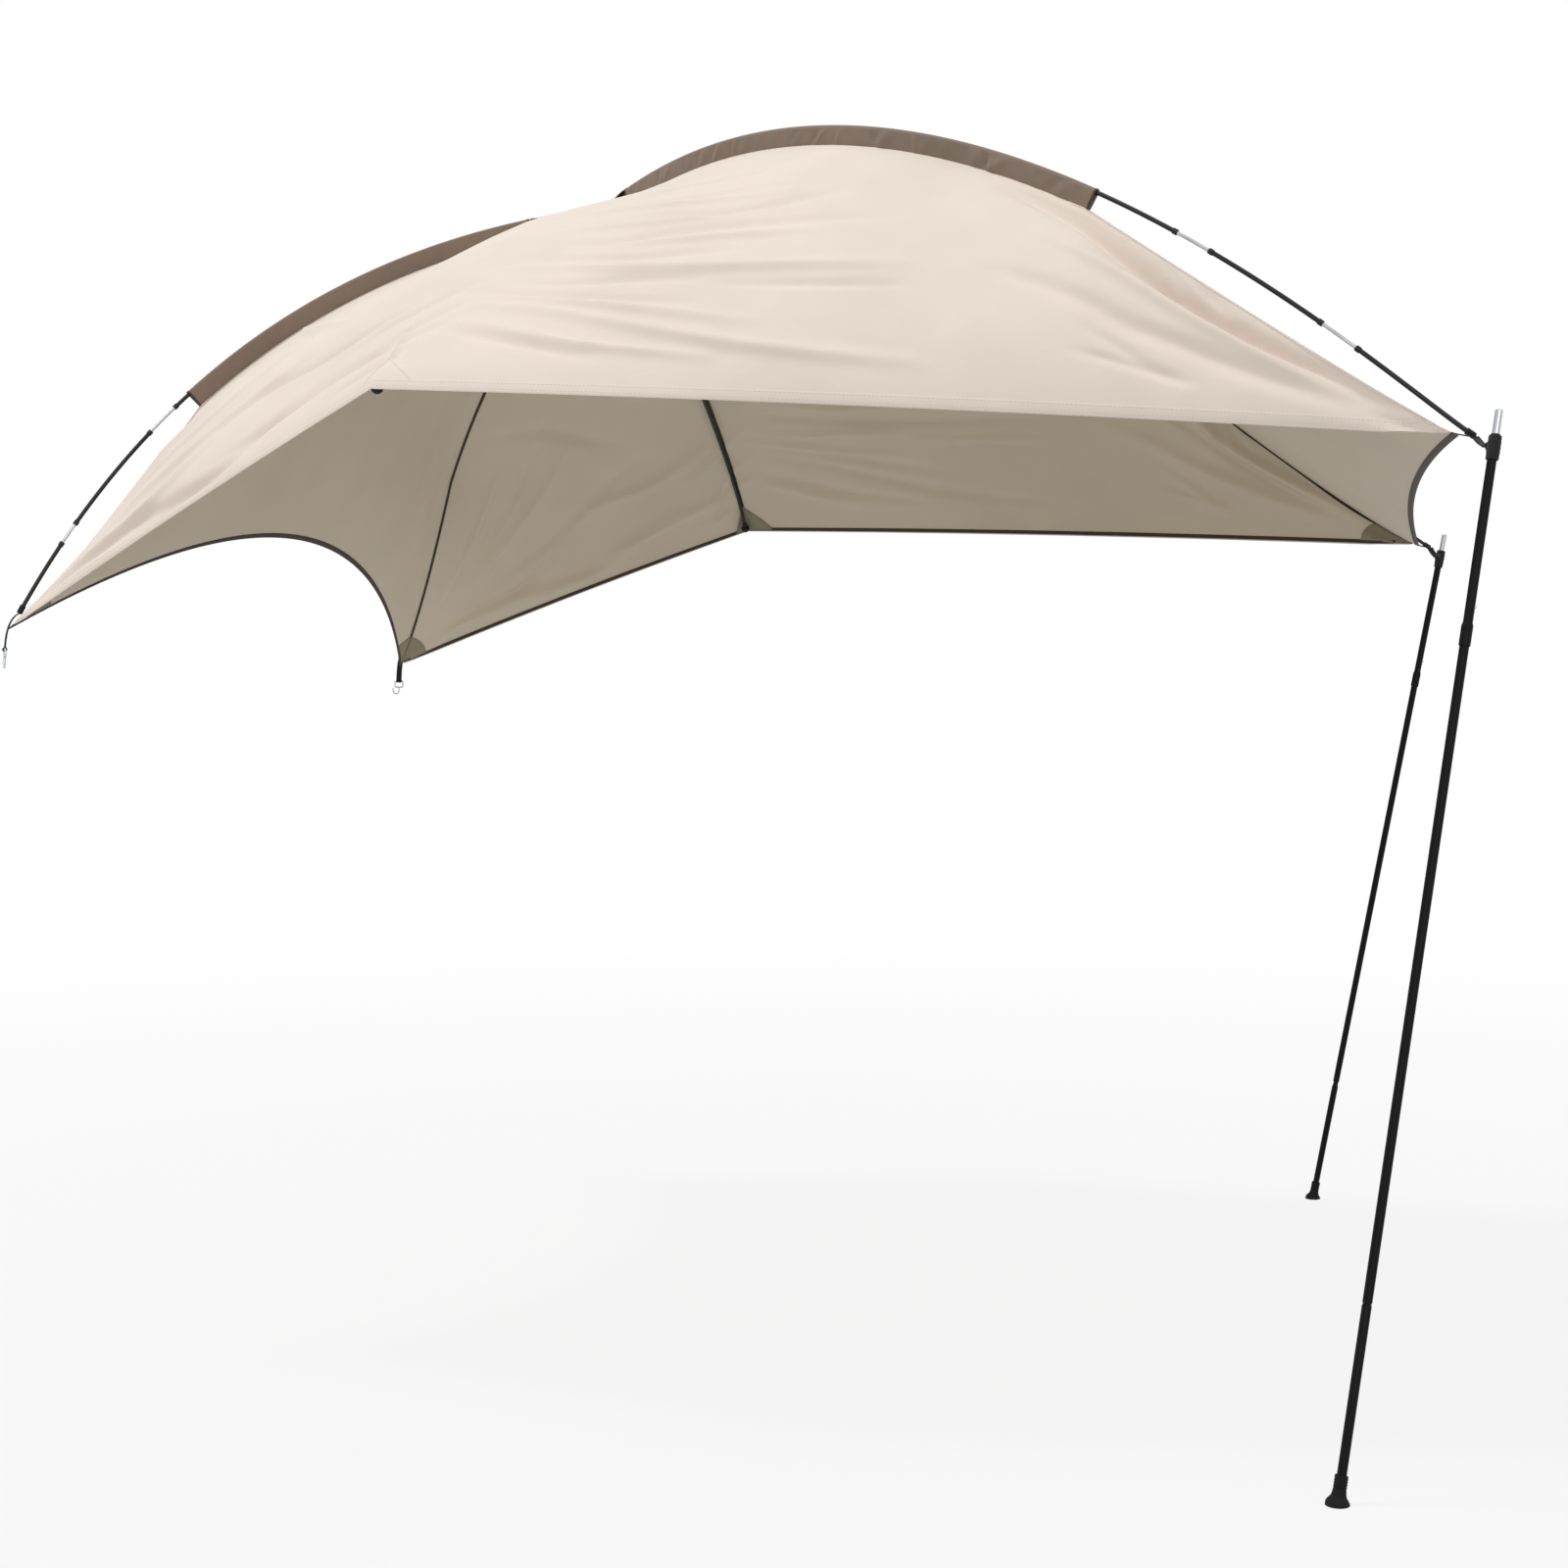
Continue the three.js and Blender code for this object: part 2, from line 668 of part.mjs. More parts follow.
// A surface between four edges, drawn in from its seams. The edges low and high run along u, start
// and end along v.
function panelSurface({
  low,
  high,
  start,
  end,
  startTrim = seamGap,
  endTrim = seamGap,
  fold = () => 0,
}) {
  const corners = [start(0), start(1), end(0), end(1)];
  const blend = (u, v) => {
    const point = low(u).lerp(high(u), v);
    point.add(start(v).lerp(end(v), u));
    point.sub(corners[0].clone().lerp(corners[1], v).multiplyScalar(1 - u));
    return point.sub(corners[2].clone().lerp(corners[3], v).multiplyScalar(u));
  };
  const inner = (u, v) => {
    const along = start(v).distanceTo(end(v));
    const trimmedU = Math.min(Math.max(u, startTrim / along), 1 - endTrim / along);
    const across = low(trimmedU).distanceTo(high(trimmedU));
    return [trimmedU, seamGap / across + v * (1 - (2 * seamGap) / across)];
  };
  const rawNormal = (u, v) => {
    const [u0, u1] = [Math.max(0, u - fineShare), Math.min(1, u + fineShare)];
    const [v0, v1] = [Math.max(0, v - fineShare), Math.min(1, v + fineShare)];
    const alongU = blend(u1, v).sub(blend(u0, v));
    const alongV = blend(u, v1).sub(blend(u, v0));
    return alongU.cross(alongV).normalize();
  };
  const outward = Math.sign(rawNormal(0.5, 0.5).z);
  const normalAt = (u, v) => rawNormal(u, v).multiplyScalar(outward);
  return {
    point: (u, v, offset = 0) => {
      const [iu, iv] = inner(u, v);
      return blend(iu, iv).addScaledVector(normalAt(iu, iv), fold(iu, iv) + offset);
    },
    normal: (u, v) => normalAt(...inner(u, v)),
  };
}

// The points of a panel's facets, over a range of its rows and columns
function facetPoints(surface, [rows, columns], offset, [row0, row1, column0, column1]) {
  const across = evenShares(column0, column1, column1 - column0);
  return evenShares(row0, row1, row1 - row0).map((row) =>
    across.map((column) => surface.point(row / rows, column / columns, offset)),
  );
}

function panelBody(surface, counts, { thickness = clothThickness, offset = 0, range } = {}) {
  const cells = range ?? [0, counts[0], 0, counts[1]];
  return sheetBody(
    facetPoints(surface, counts, offset + thickness / 2, cells),
    facetPoints(surface, counts, offset - thickness / 2, cells),
  );
}

// A hump that is 0 at the start, 1 at its peak and 0 again from its end on
function swell(share, peak, end) {
  if (share <= 0 || share >= end) return 0;
  const phase = share < peak ? share / peak : 1 - (share - peak) / (end - peak);
  return phase * phase * (3 - 2 * phase);
}

function frontFold(u, v) {
  const wave = Math.sin(2 * Math.PI * frontFolds * v) * swell(v, foldMiddleShare, 1);
  const folds = frontFoldDepth * wave * swell(u, frontFoldPeakShare, frontFoldEndShare);
  const near = (v - pleatHeightShare) / (1 - pleatHeightShare);
  const along = swell((u - pleatStartShare) / (1 - pleatStartShare), pleatPeakShare, 1);
  return folds - (Math.abs(near) < 1 ? pleatDepth * Math.cos((near * Math.PI) / 2) ** 2 * along : 0);
}

function rearFold(u, v) {
  const wave = Math.sin(2 * Math.PI * rearFolds * v) * swell(v, foldMiddleShare, 1);
  return rearFoldDepth * wave * swell(u, rearFoldPeakShare, rearFoldEndShare);
}

const fixed = (point) => () => point.clone();

const frontSidePanel = (side) =>
  panelSurface({
    low: frontHem(side),
    high: frontRidge(side),
    start: hoopSeam(side),
    end: fixed(frontCorner(side)),
    endTrim: tipTrim,
    fold: frontFold,
  });

const rearSidePanel = (side) =>
  panelSurface({
    low: rearHem(side),
    high: rearRidge(side),
    start: hoopSeam(side),
    end: fixed(rearCorner(side)),
    endTrim: tipTrim,
    fold: rearFold,
  });

const frontPanel = panelSurface({
  low: frontRidge(-1),
  high: frontRidge(1),
  start: fixed(clothCrown),
  end: frontEdge,
  startTrim: tipTrim,
});

const rearPanel = panelSurface({
  low: rearRidge(-1),
  high: rearRidge(1),
  start: fixed(clothCrown),
  end: rearEdge,
  startTrim: tipTrim,
});

add("front_panel", panelBody(frontPanel, [frontRows, spanColumns]), "cloth");
add("rear_panel", panelBody(rearPanel, [rearRows, spanColumns]), "cloth");
for (const { name, side } of sides) {
  add(`${name}_front_side_panel`, panelBody(frontSidePanel(side), [frontRows, sideColumns]), "cloth");
  add(`${name}_rear_side_panel`, panelBody(rearSidePanel(side), [rearRows, sideColumns]), "cloth");
}

// Bindings: a tape folded over each edge, drawn as a band that stands out of the panel's edge. It
// bends where the panel's facets do.

function bindingFrames(surface, count, place, inward) {
  return evenShares(0, 1, count).map((share) => {
    const point = surface.point(...place(share));
    const outward = point.clone().sub(surface.point(...inward(share))).normalize();
    return { point, outward, normal: surface.normal(...place(share)) };
  });
}

function frameBetween(a, b, share) {
  return {
    point: a.point.clone().lerp(b.point, share),
    outward: a.outward.clone().lerp(b.outward, share).normalize(),
    normal: a.normal.clone().lerp(b.normal, share).normalize(),
  };
}

// The last frame moved back, by a share of the whole edge
function shortened(frames, inset) {
  const [before, last] = frames.slice(-2);
  return [...frames.slice(0, -1), frameBetween(last, before, inset * (frames.length - 1))];
}

function bindingBody(frames) {
  const rows = (offset) =>
    frames.map(({ point, outward, normal }) =>
      [touchGap, touchGap + bindingWidth].map((distance) =>
        point.clone().addScaledVector(outward, distance).addScaledVector(normal, offset),
      ),
    );
  return sheetBody(rows(bindingThickness / 2), rows(-bindingThickness / 2));
}

function hemBinding(side) {
  const hem = (surface, count, corner) => {
    const inward = (share) => [share, hemSlopeColumns / sideColumns];
    const frames = bindingFrames(surface, count, (share) => [share, 0], inward);
    return shortened(frames, bindingEndGap / midCorner(side).distanceTo(corner));
  };
  const rear = hem(rearSidePanel(side), rearRows, rearCorner(side)).reverse();
  const front = hem(frontSidePanel(side), frontRows, frontCorner(side));
  const bend = frameBetween(rear[rear.length - 1], front[0], 0.5);
  return bindingBody([...rear.slice(0, -1), bend, ...front.slice(1)]);
}

function edgeBinding(surface, rows, halfWidth) {
  const inset = bindingEndGap / (2 * halfWidth);
  const inward = (share) => [1 - 1 / rows, share];
  const frames = shortened(bindingFrames(surface, spanColumns, (share) => [1, share], inward), inset);
  return bindingBody(shortened(frames.reverse(), inset));
}

for (const { name, side } of sides) add(`${name}_hem_binding`, hemBinding(side), "binding");
add("front_edge_binding", edgeBinding(frontPanel, frontRows, frontHalfWidth), "binding");
add("rear_edge_binding", edgeBinding(rearPanel, rearRows, rearHalfWidth), "binding");

// Reinforcements under the corners of the cloth. Each follows the facets of the panel above it.

const patchOffset = -(clothThickness + patchThickness) / 2 - patchGap;

function cornerPatch(surface, rows) {
  const range = [rows - 1, rows, 1, sideColumns - 1];
  const placing = { thickness: patchThickness, offset: patchOffset, range };
  return panelBody(surface, [rows, sideColumns], placing);
}

// A triangle over the foot of the hoop's seam
function midPatch(side) {
  const onFacets = (surface, rows, share, column, offset) => {
    const height = column / sideColumns;
    return surface.point(0, height, offset).lerp(surface.point(1 / rows, height, offset), share);
  };
  const row = (offset, column, share) => [
    onFacets(rearSidePanel(side), rearRows, share, column, offset),
    onFacets(rearSidePanel(side), rearRows, 0, column, offset).lerp(
      onFacets(frontSidePanel(side), frontRows, 0, column, offset),
      0.5,
    ),
    onFacets(frontSidePanel(side), frontRows, share, column, offset),
  ];
  const layer = (offset) => [row(offset, 0, midPatchShare), row(offset, 1, midPatchTopShare)];
  return sheetBody(layer(patchOffset + patchThickness / 2), layer(patchOffset - patchThickness / 2));
}

for (const { name, side } of sides) {
  add(`${name}_front_corner_patch`, cornerPatch(frontSidePanel(side), frontRows), "patch");
  add(`${name}_middle_corner_patch`, midPatch(side), "patch");
  add(`${name}_rear_corner_patch`, cornerPatch(rearSidePanel(side), rearRows), "patch");
}

// Apex cover: cloth drawn over the crossing of the arches, down to the panels between them

function apexCover() {
  const arms = [frontArm(-1), frontArm(1), rearArm(1), rearArm(-1)];
  const reaches = [coverFrontReach, coverFrontReach, coverRearReach, coverRearReach];
  const height = (distance) =>
    crossingLift * Math.exp(-((distance / crossingSpan) ** 2)) + rodRadius + coverClearance;
  const onArm = (k, offset) =>
    coverRings.map((share) => {
      const distance = share * reaches[k];
      const at = distance / arms[k].getLength();
      const rise = height(distance) + offset;
      return arms[k].getPointAt(at).addScaledVector(normalTo(arms[k].getTangentAt(at)), rise);
    });
  const peak = (offset) => crown.clone().addScaledVector(up, height(0) + offset);
  const standoff = clothThickness + touchGap;
  const between = (edgePoint, offset) =>
    coverRings.map((share) =>
      peak(offset).lerp(edgePoint.clone().addScaledVector(up, standoff + offset), share),
    );
  const fromCrown = (surface, reach, length) => surface.point(reach / length, 0.5);
  const frontMiddle = fromCrown(frontPanel, coverSideReach, frontReach - hoopSetback);
  const rearMiddle = fromCrown(rearPanel, coverFrontReach, crown.distanceTo(rearCorner(1)));
  const hoopLength = clothCrown.distanceTo(midCorner(1));
  const hoopMiddle = (side) => hoopSeam(side)(1 - coverSideReach / hoopLength);
  const spokes = (offset) => [
    onArm(0, offset),
    between(frontMiddle, offset),
    onArm(1, offset),
    between(hoopMiddle(1), offset),
    onArm(2, offset),
    between(rearMiddle, offset),
    onArm(3, offset),
    between(hoopMiddle(-1), offset),
  ];
  const points = [];
  const triangles = [];
  const layer = (offset) => {
    const centre = points.push(peak(offset)) - 1;
    const rings = spokes(offset).map((spoke) => spoke.map((point) => points.push(point) - 1));
    return { centre, rings };
  };
  const upper = layer(clothThickness / 2);
  const lower = layer(-clothThickness / 2);
  for (let k = 0; k < upper.rings.length; k++) {
    const next = (k + 1) % upper.rings.length;
    for (const [{ centre, rings }, flip] of [[upper, false], [lower, true]]) {
      const faces = [[centre, rings[k][0], rings[next][0]]];
      for (let i = 0; i + 1 < coverRings.length; i++) {
        const [a, b, c, d] = [rings[k][i], rings[k][i + 1], rings[next][i + 1], rings[next][i]];
        faces.push([a, b, c], [a, c, d]);
      }
      triangles.push(...(flip ? faces.map(([a, b, c]) => [a, c, b]) : faces));
    }
    const edge = coverRings.length - 1;
    const [a, b] = [upper.rings[k][edge], upper.rings[next][edge]];
    const [c, d] = [lower.rings[next][edge], lower.rings[k][edge]];
    triangles.push([a, c, b], [a, d, c]);
  }
  return closedBody(points, triangles);
}
add("apex_cover", apexCover(), "cloth");

// Hoop, inside the cloth, from one middle corner to the other

// A cap on the end of a rod: its body, the bore that holds the rod, and the middle of its closed end
function socketOn(end, out) {
  const mouth = end.clone().addScaledVector(out, -(endCapLength - endCapFloor - touchGap));
  const floor = end.clone().addScaledVector(out, endCapFloor + touchGap);
  const bore = rodBetween(
    mouth.clone().addScaledVector(out, -endCapLength),
    end.clone().addScaledVector(out, touchGap),
    rodRadius + endCapClearance,
  );
  return { floor, body: rodBetween(mouth, floor, endCapRadius), bore };
}

function hoopRoute() {
  const left = hoopSeam(-1);
  const right = hoopSeam(1);
  return (share) => {
    const seam = share < 0.5 ? left(2 * share) : right(2 - 2 * share);
    const from = Math.max(0, share - fineShare);
    const to = Math.min(1, share + fineShare);
    const at = (s) => (s < 0.5 ? left(2 * s) : right(2 - 2 * s));
    const tangent = at(to).sub(at(from)).normalize();
    const normal = new THREE.Vector3(1, 0, 0).cross(tangent).negate().normalize();
    if (normal.z < 0) normal.negate();
    const rise = Math.sin(Math.PI * share);
    seam.addScaledVector(normal, -(hoopCornerDrop + (hoopCrownDrop - hoopCornerDrop) * rise));
    return { point: seam, tangent, normal, across: new THREE.Vector3().crossVectors(tangent, normal) };
  };
}

function addHoop() {
  const route = hoopRoute();
  const length = 2 * midCorner(1).distanceTo(clothCrown);
  const setback = hoopEndSetback / length;
  const inCap = endCapLength / length;
  const shares = [setback, ...evenShares(setback + inCap, 1 - setback - inCap, hoopFacets), 1 - setback];
  add("hoop_rod", cordAlong(route, shares, rodRadius, rodSides), "fibreglass");
  for (const { name, side } of sides) {
    const { point, tangent } = route(side < 0 ? setback : 1 - setback);
    const out = tangent.clone().multiplyScalar(side);
    const { floor, body, bore } = socketOn(point, out);
    const ball = new THREE.SphereGeometry(ballRadius, turnedSides, smallSides);
    ball.translate(floor.x, floor.y, floor.z);
    const low = floor.clone().addScaledVector(out, ballHoleOffset);
    const along = new THREE.Vector3(ballRadius + overrun, 0, 0);
    const hole = rodBetween(low.clone().sub(along), low.clone().add(along), ballHoleRadius, smallSides);
    add(`${name}_hoop_ball`, cut(join(body, ball), bore, hole), "plastic");
  }
}
addHoop();

// Uprights

function tubeProfile(pieces) {
  const outer = pieces.map(({ outerRadius, height }) => [outerRadius, height]);
  const inner = pieces.map(({ innerRadius, height, innerHeight = height }) => [
    innerRadius,
    innerHeight,
  ]);
  return [...outer, ...inner.reverse()];
}

const tubeInner = tubeRadius - tubeWall;
const neckRadius = tubeInner - slideClearance;
const neckInner = neckRadius - tubeWall;
const socketInner = socketRadius - tubeWall;

function topSection(buttonTool) {
  const profile = tubeProfile([
    { outerRadius: socketRadius, innerRadius: socketInner, height: 0 },
    { outerRadius: socketRadius, innerRadius: socketInner, height: socketLength },
    { outerRadius: tubeRadius, innerRadius: tubeInner, height: socketLength + socketTaper },
    { outerRadius: tubeRadius, innerRadius: tubeInner, height: topSectionLength },
  ]);
  return cut(turned(profile), buttonTool);
}

// The neck's shoulder stops short of the socket's taper
function middleSection(length, buttonTool) {
  const shoulder = length + socketLength - touchGap;
  const profile = tubeProfile([
    { outerRadius: tubeRadius, innerRadius: tubeInner, height: 0 },
    {
      outerRadius: tubeRadius,
      innerRadius: tubeInner,
      height: shoulder - neckTaper,
      innerHeight: shoulder - 2 * neckTaper,
    },
    {
      outerRadius: neckRadius,
      innerRadius: neckInner,
      height: shoulder,
      innerHeight: shoulder - neckTaper,
    },
    { outerRadius: neckRadius, innerRadius: neckInner, height: shoulder + neckLength },
  ]);
  return cut(turned(profile), buttonTool);
}

function bottomSection(length) {
  const profile = tubeProfile([
    { outerRadius: tubeRadius, innerRadius: tubeInner, height: footFloor + touchGap },
    {
      outerRadius: tubeRadius,
      innerRadius: tubeInner,
      height: length - neckTaper,
      innerHeight: length - 2 * neckTaper,
    },
    {
      outerRadius: neckRadius,
      innerRadius: neckInner,
      height: length,
      innerHeight: length - neckTaper,
    },
    { outerRadius: neckRadius, innerRadius: neckInner, height: length + neckLength },
  ]);
  return turned(profile);
}

function spigot() {
  const radius = tubeInner - slideClearance;
  const inner = radius - spigotWall;
  return turned([
    [radius, -spigotSeat],
    [radius, spigotLength - spigotChamfer],
    [radius - spigotChamfer / 2, spigotLength],
    [inner, spigotLength],
    [inner, -spigotSeat],
  ]);
}

// The button's axis is the local X axis
function snapButton() {
  const face = tubeRadius + buttonStand;
  const domeHeight = buttonRadius * buttonDomeShare;
  const stem = rodBetween(
    new THREE.Vector3(buttonFlangeReach - buttonFlangeThickness, 0, 0),
    new THREE.Vector3(face - domeHeight, 0, 0),
    buttonRadius,
    smallSides,
  );
  const dome = new THREE.SphereGeometry(buttonRadius, smallSides, smallSides);
  dome.scale(buttonDomeShare, 1, 1).translate(face - domeHeight, 0, 0);
  const flange = rodBetween(
    new THREE.Vector3(buttonFlangeReach - buttonFlangeThickness, 0, 0),
    new THREE.Vector3(buttonFlangeReach, 0, 0),
    buttonFlangeRadius,
    smallSides,
  );
  return join(stem, dome, flange);
}

const footBell = [
  [1, 0],
  [0.97, 0.2],
  [0.8, 0.36],
  [footWaistShare, 0.55],
  [0.54, 1],
];

function foot(matrix) {
  const boreRadius = tubeRadius + touchGap;
  const bell = footBell.map(([radius, height]) => [radius * footRadius, height * footHeight]);
  const lean = new THREE.Vector3().setFromMatrixColumn(matrix, 2).angleTo(up);
  const below = footOverrun + footRadius * Math.tan(lean);
  const geometry = turned([
    [0, -below],
    [footRadius, -below],
    ...bell,
    [footCollarRadius, footHeight + touchGap],
    [footCollarRadius, footHeight + footCollarHeight],
    [boreRadius, footHeight + footCollarHeight],
    [boreRadius, footFloor],
    [0, footFloor],
  ]).applyMatrix4(matrix);
  const middle = new THREE.Vector3().setFromMatrixPosition(matrix);
  const depth = 4 * footRadius;
  const ground = new THREE.BoxGeometry(depth, depth, depth).translate(middle.x, middle.y, -depth / 2);
  return cut(geometry, ground);
}

const shoulder = (side) =>
  frontCorner(side).add(new THREE.Vector3(shoulderReach, side * shoulderSpread, -shoulderDrop));
const footPoint = ({ side, footSetback, footOut }) =>
  new THREE.Vector3(frontReach - footSetback, side * footOut, 0);
const uprightLength = (place) => shoulder(place.side).distanceTo(footPoint(place));
const bottomSectionLength =
  Math.min(...sides.map(uprightLength)) - topSectionLength - middleSectionLength - touchGap;

// The strap runs level from the arch's tip towards the upright
const strapForward = (side) => shoulder(side).sub(frontTip(side)).setZ(0).normalize();
const strapAcross = (side) => new THREE.Vector3().crossVectors(up, strapForward(side));
const loopBend = (side) =>
  shoulder(side).addScaledVector(strapForward(side), -loopReach).addScaledVector(up, -loopDrop);

function addUpright(place) {
  const { name, side } = place;
  const length = uprightLength(place);
  const group = new THREE.Group();
  group.position.copy(footPoint(place));
  group.quaternion.setFromUnitVectors(up, shoulder(side).sub(group.position).normalize());
  group.updateMatrix();
  root.add(group);

  const socketMouth = length - topSectionLength;
  const middleFoot = socketMouth - middleSectionLength;
  const buttonHeight = socketLength + socketTaper + buttonAboveSocket;
  const buttonHole = (height) =>
    rodBetween(
      new THREE.Vector3(neckInner - overrun, 0, height),
      new THREE.Vector3(tubeRadius + overrun, 0, height),
      buttonRadius + buttonClearance,
      smallSides,
    );
  const top = add(`${name}_top_section`, topSection(buttonHole(buttonHeight)), "paint", group);
  top.position.z = socketMouth;
  const middle = add(
    `${name}_middle_section`,
    middleSection(middleSectionLength, buttonHole(middleSectionLength + buttonHeight)),
    "paint",
    group,
  );
  middle.position.z = middleFoot;
  add(`${name}_bottom_section`, bottomSection(bottomSectionLength), "paint", group);
  const bright = add(`${name}_spigot`, spigot(), "bright", group);
  bright.position.z = length;
  const button = add(`${name}_snap_button`, snapButton(), "bright", group);
  button.position.z = socketMouth + buttonHeight;
  add(`${name}_foot`, foot(group.matrix), "rubber");
  add(`${name}_pole_loop`, poleLoop(side, group.matrix, length), "webbing");
}

// The loop is a collar of webbing round the upright and two legs that meet where the strap bends
function poleLoop(side, matrix, length) {
  const inner = tubeRadius + touchGap;
  const topEdge = length - loopSetdown;
  const onAxis = (height) => new THREE.Vector3(0, 0, height).applyMatrix4(matrix);
  const collar = rodBetween(onAxis(topEdge - loopHeight), onAxis(topEdge), inner + loopWall);
  const bore = rodBetween(onAxis(topEdge - loopHeight - overrun), onAxis(topEdge + overrun), inner);
  const bend = loopBend(side);
  const forward = strapForward(side);
  const across = strapAcross(side);
  const eyeMiddle = bend.clone().addScaledVector(forward, eyeRadius + bendGap / 2);
  const eye = rodBetween(
    eyeMiddle.clone().addScaledVector(across, -strapWidth / 2),
    eyeMiddle.clone().addScaledVector(across, strapWidth / 2),
    eyeRadius,
    smallSides,
  );
  const legs = [topEdge - loopLegInset, topEdge - loopHeight + loopLegInset].map((height) =>
    strapThrough([eyeMiddle, onAxis(height)], across, strapWidth, strapThickness),
  );
  return cut(join(collar, eye, ...legs), bore);
}

// The strap runs from the cloth's corner to the bend, and carries the pocket of the rod's tip
function frontStrap(side) {
  const { route } = archRoute(side);
  const { point, tangent } = route(0);
  const { floor, body, bore } = socketOn(point, tangent.clone().negate());
  const across = strapAcross(side);
  const bar = loopBend(side).addScaledVector(strapForward(side), -eyeRadius - bendGap / 2);
  const eye = rodBetween(
    bar.clone().addScaledVector(across, -strapWidth / 2),
    bar.clone().addScaledVector(across, strapWidth / 2),
    eyeRadius,
    smallSides,
  );
  const corner = frontCorner(side);
  const toFloor = floor.clone().sub(corner).normalize();
  const start = corner.addScaledVector(toFloor, touchGap);
  const webAcross = new THREE.Vector3().crossVectors(up, toFloor).normalize();
  const web = strapThrough([start, floor], webAcross, webWidth, webThickness);
  const strap = strapThrough([floor, bar], across, strapWidth, strapThickness);
  return cut(join(strap, eye, body, web), bore);
}

for (const place of sides) {
  addUpright(place);
  add(`${place.name}_front_strap`, frontStrap(place.side), "webbing");
}

// Rear straps and hooks

// The directions of a rear strap: level along its width, and level away from the cloth's corner
function rearDirections(side) {
  const tangent = rearArm(side).getTangentAt(1);
  const across = new THREE.Vector3().crossVectors(up, tangent).normalize();
  return { tangent, across, away: new THREE.Vector3().crossVectors(across, up) };
}

function hookBar(side) {
  const { away } = rearDirections(side);
  return rearCorner(side).addScaledVector(away, rearStrapOut).addScaledVector(up, -rearStrapDrop);
}

function rearStrap(side) {
  const { tangent, across } = rearDirections(side);
  const { route, rearEnd } = archPlan(-side);
  const { floor, body, bore } = socketOn(route(rearEnd).point, tangent);
  const bar = hookBar(side);
  const eyeInner = wireRadius + hookEyeClearance;
  const ends = [-strapWidth / 2, strapWidth / 2].map((reach) =>
    bar.clone().addScaledVector(across, reach),
  );
  const eye = rodBetween(...ends, eyeInner + hookEyeWall);
  const eyeBore = rodBetween(
    ends[0].clone().addScaledVector(across, -overrun),
    ends[1].clone().addScaledVector(across, overrun),
    eyeInner,
  );
  const past = rearCorner(side).addScaledVector(normalTo(tangent), rearStrapStandoff);
  const hang = bar.clone().sub(past).normalize();
  const last = bar.clone().addScaledVector(hang, -(eyeInner + hookEyeWall / 2));
  const strap = strapThrough([floor, past, last], across, strapWidth, strapThickness);
  return cut(join(strap, eye, body), bore, eyeBore);
}

// A wire ring hangs on the strap's eye, and its lower side carries the hook, which opens towards the
// middle of the tent. Places in the plane of the wire are [along the bar, upwards] from its middle.
function rearHook(side) {
  const { across, away } = rearDirections(side);
  const bar = hookBar(side);
  const place = ([along, rise]) =>
    bar.clone().addScaledVector(across, side * along).addScaledVector(up, rise);
  const half = hookBarLength / 2;
  const ringCorners = [
    [-half, 0],
    [half, 0],
    [half, -hookRingHeight],
    [-half, -hookRingHeight],
  ];
  const corners = ringCorners.map(place);
  const path = new THREE.CurvePath();
  corners.forEach((corner, i) => {
    const next = corners[(i + 1) % corners.length];
    const afterNext = corners[(i + 2) % corners.length];
    const along = next.clone().sub(corner).normalize().multiplyScalar(hookBendRadius);
    const onward = afterNext.clone().sub(next).normalize().multiplyScalar(hookBendRadius);
    path.add(new THREE.LineCurve3(corner.clone().add(along), next.clone().sub(along)));
    path.add(new THREE.QuadraticBezierCurve3(next.clone().sub(along), next, next.clone().add(onward)));
  });
  const shankEnd = -hookRingHeight - hookShank;
  const throat = evenShares(0, Math.PI, hookBendFacets).map((angle) => [
    hookThroatRadius * (1 - Math.cos(angle)),
    shankEnd - hookThroatRadius * Math.sin(angle),
  ]);
  const hookEnd = [2 * hookThroatRadius, shankEnd + hookTip];
  const points = [[0, -hookRingHeight], ...throat, hookEnd].map(place);
  const frames = points.map((point, i) => {
    const before = points[Math.max(0, i - 1)];
    const after = points[Math.min(points.length - 1, i + 1)];
    const tangent = after.clone().sub(before).normalize();
    return { point, across: away, normal: new THREE.Vector3().crossVectors(tangent, away) };
  });
  return join(closedTube(path, away, hookRingFacets), sweptBody(frames, wireOutline()));
}

function wireOutline() {
  return Array.from({ length: wireSides }, (_, i) => {
    const angle = (2 * Math.PI * (i + 0.5)) / wireSides;
    return [wireRadius * Math.cos(angle), wireRadius * Math.sin(angle)];
  });
}

// A wire of one closed flat loop, given the direction square to its plane
function closedTube(path, square, count) {
  const points = [];
  const loops = Array.from({ length: count }, (_, i) => {
    const point = path.getPoint(i / count);
    const before = path.getPoint((i + count - fineShare) / count % 1);
    const tangent = path.getPoint((i + fineShare) / count).sub(before).normalize();
    const normal = new THREE.Vector3().crossVectors(tangent, square);
    return wireOutline().map(([sideways, outwards]) => {
      points.push(point.clone().addScaledVector(square, sideways).addScaledVector(normal, outwards));
      return points.length - 1;
    });
  });
  const triangles = [];
  loops.forEach((loop, i) => bridge(loop, loops[(i + 1) % count], triangles));
  return closedBody(points, triangles);
}

for (const { name, side } of sides) {
  add(`${name}_rear_strap`, rearStrap(side), "webbing");
  add(`${name}_rear_hook`, rearHook(side), "bright");
}

// The origin is on the ground under the middle of the tent
const reach = new THREE.Box3().setFromObject(root);
root.position.x = -(reach.min.x + reach.max.x) / 2;

export default root;
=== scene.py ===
"""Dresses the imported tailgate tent: cloth, poles, uprights, webbing and studio."""

import math

import bpy
import numpy as np
from mathutils import Matrix, Vector


